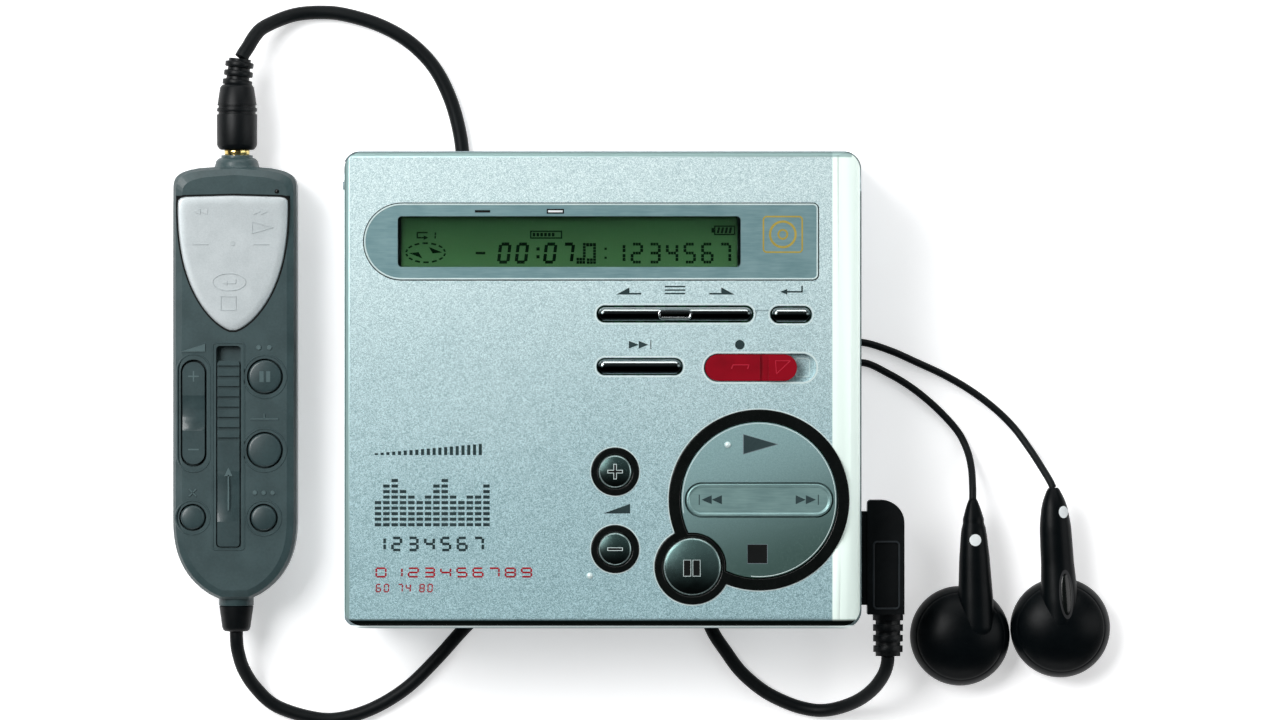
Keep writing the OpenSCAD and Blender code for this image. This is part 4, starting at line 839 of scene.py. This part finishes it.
LID_TOP = 27.2
INK_Z = LID_TOP + 0.012
INK_LEFT = -35.5
BEZEL = (33.6, 22.975, 5.925)
ink = []
ink += [[(2.15, 14.72), (6.04, 14.72), (6.04, 14.98), (4.2, 14.98), (4.2, 15.84)]]
ink += [[(20.6, 14.72), (18.5, 15.84), (18.5, 14.98), (16.65, 14.98), (16.65, 14.72)]]
ink += [bar(9.7, 14.75 + 0.55 * k, 12.9, 14.98 + 0.55 * k) for k in range(3)]
ink += [line((31.1, 16.1), (31.1, 15.15), 0.25), line((31.2, 15.15), (28.6, 15.15), 0.25)]
ink += [[(27.7, 15.15), (28.8, 14.7), (28.8, 15.6)]]
ink += skip_mark(4.1, 7.6, 6.3, 7.5)
ink += [disc((21.4, 6.9), 0.75)]
ink += [[(0.1, -19.4), (4.3, -19.4), (4.3, -17.9)]]
# A ramp of bars, and level bars of small blocks
for k in range(19):
    x = INK_LEFT + 0.9 * k
    ink += [bar(x, -10.3, x + 0.5, -10.0 + 0.08 * k)]
for k in range(14):
    x = INK_LEFT + 1.3 * k
    rows = min(int(3 + 5 * abs(math.sin(0.55 * k + 0.5)) + k % 3), 10)
    ink += [bar(x, -21.4 + 0.86 * j, x + 1.02, -20.9 + 0.86 * j) for j in range(rows)]
ink += digits("1234567", INK_LEFT, -25.3, 1.75, 2.3, 2.55, 0.42, 0.0)
marks("lid_printing", ink, INK_Z, dark_ink, "lid")
red = digits("0123456789", -35.4, -29.4, 1.75, 1.6, 2.52, 0.27, 0.0)
for k, minutes in enumerate(("60", "74", "80")):
    red += digits(minutes, -35.4 + 3.4 * k, -31.7, 0.85, 1.35, 1.25, 0.2)
marks("lid_red_printing", red, INK_Z, red_ink, "lid")

# Painted highlights: bright lines where the lid dips at its openings, and the bead of the bezel


def outline_line(outline, inset, w):
    """The area between two insets of an outline, as quads."""
    a, b = outline(inset), outline(inset + w)
    return [[a[k], a[(k + 1) % len(a)], b[(k + 1) % len(b)], b[k]] for k in range(len(a))]


def opening(place, size, radius, w):
    """A painted highlight: a bright line of width w just inside the edge of a slot in the lid."""
    return outline_line(lambda i: stadium(place, size, radius, i), 0, w)


marks("rec_slot_line", opening((31.2, 3.33), (2.3, 3.0), 0.5, 0.15), 25.615, painted_highlight_look,
      "lid")
highlight_rims = []
for (at, size), wide in ((MENU, 25.1), (ENTER, 7.1), (SEARCH, 14.1)):
    highlight_rims += opening(at, (wide, 3.3), 1.6, 0.2)
highlight_rims += opening((24.55, 3.33), (18.1, 5.0), 2.45, 0.26)
for at in KEY_AT.values():
    highlight_rims += ring(at, 3.86, 3.86, 0.14, n=60)
# The arcs stop where the lid rolls down and where the two black surrounds meet
highlight_rims += ring(PAD_AT, 14.2, 14.2, 0.16, 37, 201, 90) + ring(PAD_AT, 14.2, 14.2, 0.16, 249, 323, 40)
highlight_rims += ring(PAUSE_AT, 6.02, 6.02, 0.16, 118.5, 331.5, 70)
marks("lid_rims", highlight_rims, INK_Z - 0.006, painted_highlight_look, "lid")


def bezel_outline(i):
    """Bezel drawn in by i: a half circle on the left, small round corners on the right."""
    right_x, middle, half = BEZEL
    t = np.linspace(math.pi / 2, 1.5 * math.pi, 40)
    parts = [np.stack([-31.25 + (half - i) * np.cos(t), middle + (half - i) * np.sin(t)], -1)]
    r = max(0.8 - i, 0.05)
    for side, start in ((-1, 1.5 * math.pi), (1, 0)):
        t = start + np.linspace(0, math.pi / 2, 8)
        y = middle + side * (half - 0.8)
        parts.append(np.stack([right_x - 0.8 + r * np.cos(t), y + r * np.sin(t)], -1))
    return np.concatenate(parts)


bead("bezel_bead", bezel_outline, 0.0, 0.26, 27.3, 0.07, painted_highlight_look, "lid")
marks("bezel_shadow", outline_line(bezel_outline, -0.16, 0.13), INK_Z, black_ink,
      "lid")

BEZEL_Z = LID_TOP + 0.112


def bezel_marks(name, polygons, look):
    """Printed marks on the bezel."""
    marks(name, polygons, BEZEL_Z, look, "lid")


bezel_marks("bezel_dash", [bar(-19.9, 27.5, -17.5, 27.88)], black_ink)
bezel_marks("bezel_dash_open", frame_line(-8.7, 27.32, -6.0, 28.08, 0.22), black_ink)
bezel_marks("bezel_dash_white", [bar(-8.48, 27.54, -6.22, 27.86)], white_ink)
ochre = ring((28.1, 24.1), 2.0, 2.0, 0.36) + ring((28.1, 24.1), 0.7, 0.7, 0.3)
ochre += [bar(25.6, 26.75, 30.6, 27.0), bar(25.6, 21.2, 30.6, 21.45)]
ochre += [bar(24.95, 21.85, 25.2, 26.35), bar(31.0, 21.85, 31.25, 26.35)]
for cx, cy, start in ((30.6, 26.35, 0), (25.6, 26.35, 90), (25.6, 21.85, 180), (30.6, 21.85, 270)):
    ochre += ring((cx, cy), 0.525, 0.525, 0.25, start, start + 90, 6)
bezel_marks("bezel_disc_mark", ochre, ochre_ink)

# Figures on the display, between the panel and the window

lcd = ring((-27.6, 21.25), 3.05, 1.5, 0.28, 6, 366, 14, 0.62)
lcd += [[(-30.2, 21.2), (-28.1, 20.35), (-28.7, 21.35)], [(-25.0, 21.3), (-27.1, 22.15), (-26.5, 21.15)]]
lcd += [line((-28.9, 24.4), (-27.3, 24.4), 0.22), line((-28.9, 24.46), (-28.9, 23.6), 0.22),
        line((-28.98, 23.6), (-27.9, 23.6), 0.22), [(-27.2, 23.6), (-27.9, 23.25), (-27.9, 23.95)]]
lcd += digits("1", -26.7, 23.3, 0.7, 1.3, 1.0, 0.24)
lcd += frame_line(-11.3, 23.45, -6.3, 24.7, 0.2)
lcd += [bar(-10.9 + 0.6 * k, 23.8, -10.5 + 0.6 * k, 24.35) for k in range(6)]
lcd += [bar(-19.8, 21.0, -18.3, 21.4)]
lcd += digits("00:07", -16.5, 19.55, 1.95, 3.3, 2.75, 0.5, 0.12)
lcd += dotted([bar(-4.1, 19.5, -2.7, 20.5), bar(-3.1, 20.5, -2.6, 22.8), bar(-2.6, 22.2, -1.0, 22.8),
               bar(-1.5, 20.4, -1.0, 22.2), bar(-2.5, 19.5, -1.0, 20.4)], 0.47, 0.86)
lcd += dotted(digits("1234567", 1.6, 19.55, 2.0, 3.3, 2.75, 0.5, 0.0), 0.47, 0.88)
lcd += [bar(0.3, 20.3, 0.65, 20.65), bar(0.3, 21.7, 0.65, 22.05)]
lcd += frame_line(17.4, 24.0, 20.7, 25.5, 0.2) + [bar(17.0, 24.4, 17.4, 25.1)]
for x in 17.8 + 0.62 * np.arange(4):
    lcd += [[(x, 24.3), (x + 0.35, 24.3), (x + 0.55, 25.2), (x + 0.2, 25.2)]]
marks("display_figures", lcd, 25.875, lcd_ink, "lid")


# Remote

REMOTE_X = -58.35


def shield(i):
    """Outline of the shield plate drawn in by i: x = (8.7 - i) (1 - u^2.6)^0.66, y falling with u."""
    u = np.concatenate([np.arange(0, 0.9, 0.035), np.linspace(0.9, 0.995, 9)])
    x = (8.7 - i) * (1 - u ** 2.6) ** 0.66
    y = 30.1 - i - (21 - 2 * i) * u
    x = np.concatenate([[0.01, x[0] - 1.2, x[0] - 0.45, x[0] - 0.08], x[2:]])
    y = np.concatenate([[30.45 - i, y[0] + 0.15, y[0] - 0.04, y[0] - 0.42], y[2:]])
    return np.stack([REMOTE_X + np.concatenate([x, -x[::-1]]), np.concatenate([y, y[::-1]])], -1)


plate = skin("remote_shield", raised(shield, [
    (0, 9.75), (0, 10.8), (0.05, 10.93), (0.16, 11.04), (0.36, 11.09), (1.2, 11.12), (1.5, 11.12)]),
    remote_plate_look, "remote_key_plate", sharp=50)
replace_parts(plate, "remote_key_plate")
marks("shield_gap", outline_line(shield, -0.3, 0.29), 10.808, black_ink, "player")
emboss = skip_mark(-62.3, -64.9, 27.4, 28.4)[:2] + skip_mark(-55.1, -52.5, 27.4, 28.4)[:2]
emboss += [line((-55.3, 26.3), (-52.0, 25.4), 0.14), line((-52.0, 25.4), (-55.3, 24.5), 0.14)]
emboss += [line((-55.3, 24.5), (-55.3, 26.3), 0.14), line((-64.7, 22.75), (-62.2, 22.75), 0.16)]
emboss += [line((-55.1, 22.75), (-52.6, 22.75), 0.16), disc((-58.4, 22.9), 0.4, 16)]
emboss += ring((-58.9, 16.8), 2.6, 1.35, 0.14)
emboss += [line((-57.9, 17.3), (-57.9, 16.6), 0.16), line((-57.9, 16.6), (-59.2, 16.6), 0.16)]
emboss += [[(-60.0, 16.6), (-59.2, 16.25), (-59.2, 16.95)]]
emboss += frame_line(-60.3, 12.3, -57.8, 14.6, 0.14)
marks("shield_marks", emboss, 11.08, emboss_shade_look, "remote_key_plate", 0.14, 0.03)

FACE_Z = 10.79
REMOTE_KEYS = {
    "remote_pause_button": (-53.3, 1.9, 2.6), "remote_upper_button": (-53.35, -9.7, 2.65),
    "remote_left_button": (-64.7, -20.3, 1.9), "remote_right_button": (-53.5, -20.4, 2.0)}


def face_ridge(name, outline, w):
    """A low ridge of width w on the remote's face, just inside an outline."""
    bead(name, outline, 0, w, FACE_Z, 0.1, remote_look, "player")


raised_marks = [[(-66.6, 5.8), (-62.7, 5.8), (-62.7, 7.1)]]
raised_marks += [disc((-54.3, 6.5), 0.38, 16), disc((-52.6, 6.5), 0.38, 16)]
raised_marks += [line((-55.6, -4.8), (-51.2, -4.8), 0.24), line((-53.4, -4.7), (-53.4, -3.9), 0.24)]
raised_marks += [line((-65.3, -17.0), (-64.1, -15.8), 0.24), line((-65.3, -15.8), (-64.1, -17.0), 0.24)]
raised_marks += [disc((-54.9 + 1.4 * k, -16.4), 0.36, 16) for k in range(3)]
marks("remote_face_marks", raised_marks, FACE_Z - 0.02, remote_relief_highlight_look, "player",
      0.2, 0.05)
face_ridge("remote_rocker_ring", lambda i: stadium((-64.55, -3.85), (5.5, 18.9), 2.7, i), 0.34)
face_ridge("remote_slider_frame", lambda i: stadium((-59.05, -9.1), (5.3, 32.9), 0.6, i), 0.32)
for k, (x, y, r) in enumerate(REMOTE_KEYS.values()):
    face_ridge("remote_key_ring_%d" % k, lambda i: disc((x, y), r + 0.95 - i, 64), 0.34)
lamp = [(10.78 + 0.3 * math.sin(a), 0.36 * math.cos(a)) for a in np.linspace(0, 1.55, 7)]
skin("remote_lamp", turned(lamp, (-51.43, 31.1, 0), (0, 0, 1), 20), ring_look, "player",
     caps=(True, False))
for node, (x, y, r) in REMOTE_KEYS.items():
    cap = dome(node + "_cap", (x, y), r, 9.7, 10.72, 11.2, remote_key_look, node)
    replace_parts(cap, node)
marks("remote_pause_mark", [bar(-54.15, 1.05, -53.5, 2.75), bar(-53.1, 1.05, -52.45, 2.75)],
      11.13, remote_relief_highlight_look, "remote_pause_button", 0.08)
rocker_marks = [line((-65.4, 1.94), (-63.7, 1.94), 0.22), line((-64.55, 2.8), (-64.55, 2.05), 0.22)]
rocker_marks += [line((-64.55, 1.83), (-64.55, 1.1), 0.22), line((-65.4, -9.6), (-63.7, -9.6), 0.22)]
marks("remote_rocker_marks", rocker_marks, 11.14, remote_relief_highlight_look, "remote_volume_rocker",
      0.06)
slider_marks = [line((-59.05, -13.6), (-59.05, -19.2), 0.24)]
slider_marks += [[(-59.05, -12.4), (-59.7, -13.8), (-58.4, -13.8)]]
marks("remote_slider_marks", slider_marks, 11.09, remote_relief_highlight_look, "remote_hold_slider",
      0.08)


# Earpieces

BUD_R, STEM_Z = 7.9, 5.8
STEM_END = 2.6
# Middle of the earpiece, tip and heel of its stem, and half widths at distances from the tip
BUDS = {
    "right": ((72.45, -37.9), (71.2, -15.7), (72.6, -39.5), [
        (0, 0.75), (0.4, 1.05), (1.8, 1.7), (3.4, 2.15), (6.1, 2.5), (9, 2.58), (12, 2.62),
        (15.5, 2.85), (18, 3.0), (26, 2.9)]),
    "left": ((56.55, -39.2), (58.5, -17.5), (59.15, -40.4), [
        (0, 0.6), (1, 1.05), (3.4, 1.75), (5.7, 2.08), (9.3, 2.42), (12.9, 2.62), (15.6, 2.78),
        (19, 2.85), (25, 2.7)]),
}
# Label and look, distance from the tip, offset to the side, the two radii, and height
INLAYS = {
    "right": [("dot", white_ink, 3.9, -1.35, (0.95, 0.75), 0.04),
              ("oval_edge", tie_look, 16.9, -1.0, (3.9, 1.15), 0.05),
              ("oval", ring_look, 16.9, -1.0, (3.5, 0.88), 0.2)],
    "left": [("dot", white_ink, 6.45, -0.15, (0.93, 0.93), 0.04)],
}
SQUARENESS = 2.15


def bud_shell(side, centre):
    """A flat drum with a seam, closed by z = 3.4 + 5.2 sin a, r = BUD_R cos a, with a shallow groove.

    The groove lowers z by 0.1 exp(-((r - 6.9) / 0.09)^2).
    """
    shell = [(1.3, 0.0), (1.3, BUD_R - 0.8), (1.42, BUD_R - 0.4), (1.75, BUD_R - 0.1), (2.3, BUD_R),
             (3.05, BUD_R), (3.12, BUD_R - 0.12), (3.26, BUD_R - 0.12), (3.34, BUD_R - 0.01)]
    for a in np.linspace(0.03, math.pi / 2, 70):
        shell.append((3.4 + 5.2 * math.sin(a), BUD_R * math.cos(a)))
    shell = [(z - 0.1 * math.exp(-((r - 6.9) / 0.09) ** 2), r) for z, r in shell]
    rings = turned(shell, (*centre, 0), (0, 0, 1), 96)
    return skin("earbud_shell_" + side, rings, bud_look, "player", caps=(False, False),
                sharp=50)


def bud_stem(side, a, along, across, reach, stations):
    """A stem whose section is |x|^n + |y|^n = 1, n = 2.15, scaled by the half width w(s) along it.

    w(s) is read off the stations, smoothed once, rounded off by sqrt(1 - q^2) over the last
    stretch, and narrowed at two grooves near the tip; the section is 0.96 w high.
    """
    s = np.concatenate([[0, 0.15], np.linspace(0.4, reach - STEM_END, 44),
                        reach - STEM_END + STEM_END * np.sin(np.linspace(0.1, 1.56, 12))])
    w = np.interp(s, *np.array(stations).T)
    w = np.convolve(np.pad(w, 1, mode="edge"), [0.25, 0.5, 0.25], "valid")
    w = w * np.sqrt(np.clip(1 - (np.clip(s - reach + STEM_END, 0, None) / STEM_END) ** 2, 0.0004, 1))
    w = w * (1 - 0.07 * np.exp(-((s - 3.6) / 0.14) ** 2) - 0.05 * np.exp(-((s - 4.1) / 0.12) ** 2))
    t = np.linspace(0, TAU, 48, endpoint=False)
    ct, st = np.cos(t), np.sin(t)
    corner = (np.abs(ct) ** SQUARENESS + np.abs(st) ** SQUARENESS) ** (-1 / SQUARENESS)
    rings = (a + s[:, None, None] * along + (w[:, None] * ct * corner)[:, :, None] * across
             + (0.96 * w[:, None] * st * corner)[:, :, None] * [0, 0, 1.0])
    skin("earbud_stem_" + side, rings, bud_look, "player", sharp=70)


def bud_inlay(side, a, along, across, stations, label, look, spot, aside, size, high):
    """An oval patch that follows the stem's upper side, z = 0.96 w (1 - |x / w|^n)^(1 / n) + high."""
    t = np.linspace(0, TAU, 40, endpoint=False)
    patch = []
    for r in np.linspace(0.02, 1.0, 12)[::-1]:
        s, x = spot + r * size[0] * np.cos(t), aside + r * size[1] * np.sin(t)
        w = np.interp(s, *np.array(stations).T)
        z = 0.96 * w * (1 - np.minimum(np.abs(x) / w, 0.98) ** SQUARENESS) ** (1 / SQUARENESS)
        z = z + (high * math.sqrt(1.001 - r * r) if label == "oval" else high)
        patch.append(a + s[:, None] * along + x[:, None] * across + z[:, None] * [0, 0, 1.0])
    skin("earbud_" + label + "_" + side, patch, look, "player", caps=(False, True),
         sharp=80)


for side, (centre, tip, heel, stations) in BUDS.items():
    bud = bud_shell(side, centre)
    if side == "right":
        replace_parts(bud, "earbud_housings")
    a, b = np.array([*tip, STEM_Z]), np.array([*heel, STEM_Z])
    reach = np.linalg.norm(b - a)
    along = (b - a) / reach
    across = np.cross(along, [0, 0, 1.0])
    bud_stem(side, a, along, across, reach, stations)
    for inlay in INLAYS[side]:
        bud_inlay(side, a, along, across, stations, *inlay)


# CAD nodes that stay: softened edges and materials

def keep(node, look, width):
    """Gives a CAD node its material and, with a width, welds it and rounds its edges by that much."""
    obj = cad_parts[node]
    obj.data.materials.clear()
    obj.data.materials.append(look.mat)
    if width:
        weld = obj.modifiers.new("weld", "WELD")
        weld.merge_threshold = 2e-6
        bevel = obj.modifiers.new("bevel", "BEVEL")
        bevel.width, bevel.segments, bevel.limit_method = width * MM, 2, "ANGLE"
        bevel.angle_limit = math.radians(32)
        bevel.harden_normals = True
        bevel.use_clamp_overlap = True


KEPT = {
    "lower_case": (case_look, 0.12), "battery_case": (case_look, 0.12),
    "battery_door": (case_look, 0.15), "battery_contacts": (brass_look, 0),
    "hinge_pins": (steel_look, 0), "case_screws": (dark_steel_look, 0.04),
    "open_latch": (trim_look, 0.08), "hold_switch": (trim_look, 0.08),
    "case_jacks": (drive_look, 0.08), "main_board": (board_look, 0),
    "mech_chassis": (sheet_look, 0.05), "spindle_motor": (steel_look, 0.1),
    "turntable": (drive_look, 0.1), "guide_rods": (steel_look, 0), "pickup_sled": (drive_look, 0.08),
    "lead_screw": (brass_look, 0), "sled_motor": (steel_look, 0.1), "disc_holder": (sheet_look, 0.06),
    "lid_panel": (lid_look, 0.07), "lid_liner": (liner_look, 0.08), "key_board": (board_look, 0),
    "lcd_panel": (lcd_look, 0), "display_window": (window_look, 0.05),
    "display_bezel": (bezel_look, 0.08),
    "rec_slider": (red_look, 0.14), "volume_rings": (ring_look, 0.14), "pad_surround": (ring_look, 0.14),
    "control_pad": (pad_look, 0.12), "remote_back_shell": (remote_look, 0.2),
    "remote_front_shell": (remote_look, 0.14), "remote_clip": (remote_key_look, 0.15),
    "remote_board": (board_look, 0),
    "remote_volume_rocker": (remote_key_look, 0.1), "remote_hold_slider": (remote_key_look, 0.08),
    "player_plug": (sleeve_look, 0.3), "earbud_grilles": (mesh_look, 0),
}
for node, (look, width) in KEPT.items():
    keep(node, look, width)


# Floor, lights and output

paper = Look("paper", (240, 240, 241), 0.75)
paper.set("Base Color", paper.noise(0.02, 2.0).mix((243, 243, 244), (247, 247, 248)))
paper.bump(paper.noise(1.5, 3.0), 0.01)
# White for the camera and in reflections, without lighting the object
camera_ray, glossy_ray, clear_ray = (paper.p.node("ShaderNodeLightPath", out="Is %s Ray" % kind)
                                     for kind in ("Camera", "Glossy", "Transmission"))
seen = (camera_ray + glossy_ray + clear_ray).min(1.0)
paper.set("Emission Color", seen.mix((0, 0, 0), (255, 255, 255)))
paper.set("Emission Strength", 0.44)
bpy.ops.mesh.primitive_plane_add(size=12)
floor = bpy.context.object
floor.name = "floor"
floor.data.materials.append(paper.mat)


def area_light(name, at, aim, size, energy, colour=(1, 1, 1)):
    """A soft rectangular light at a point, aimed at another."""
    data = bpy.data.lights.new(name, "AREA")
    data.shape, data.size, data.size_y = "RECTANGLE", size[0], size[1]
    data.energy, data.color = energy, colour
    light = bpy.data.objects.new(name, data)
    bpy.context.collection.objects.link(light)
    light.location = at
    at, aim = np.array(at), np.array(aim)
    light.rotation_mode = "QUATERNION"
    light.rotation_quaternion = Vector(aim - at).to_track_quat("-Z", "Y")


area_light("key", (-0.7, 0.42, 1.05), (0, 0, 0), (0.7, 0.7), 17)
area_light("rear", (0.1, 1.2, 0.8), (0, 0, 0), (1.6, 0.7), 9)
area_light("right_panel", (1.0, 0.1, 0.6), (0.02, 0, 0), (0.6, 0.9), 4)
area_light("front_strip", (0.0, -1.1, 0.3), (0, 0, 0.01), (1.2, 0.2), 2.5)
world = bpy.data.worlds.new("studio")
bpy.context.scene.world = world
world.use_nodes = True
world.node_tree.nodes["Background"].inputs["Color"].default_value = (0.42, 0.45, 0.47, 1)
world.node_tree.nodes["Background"].inputs["Strength"].default_value = 0.08
bpy.context.scene.view_settings.view_transform = "Standard"
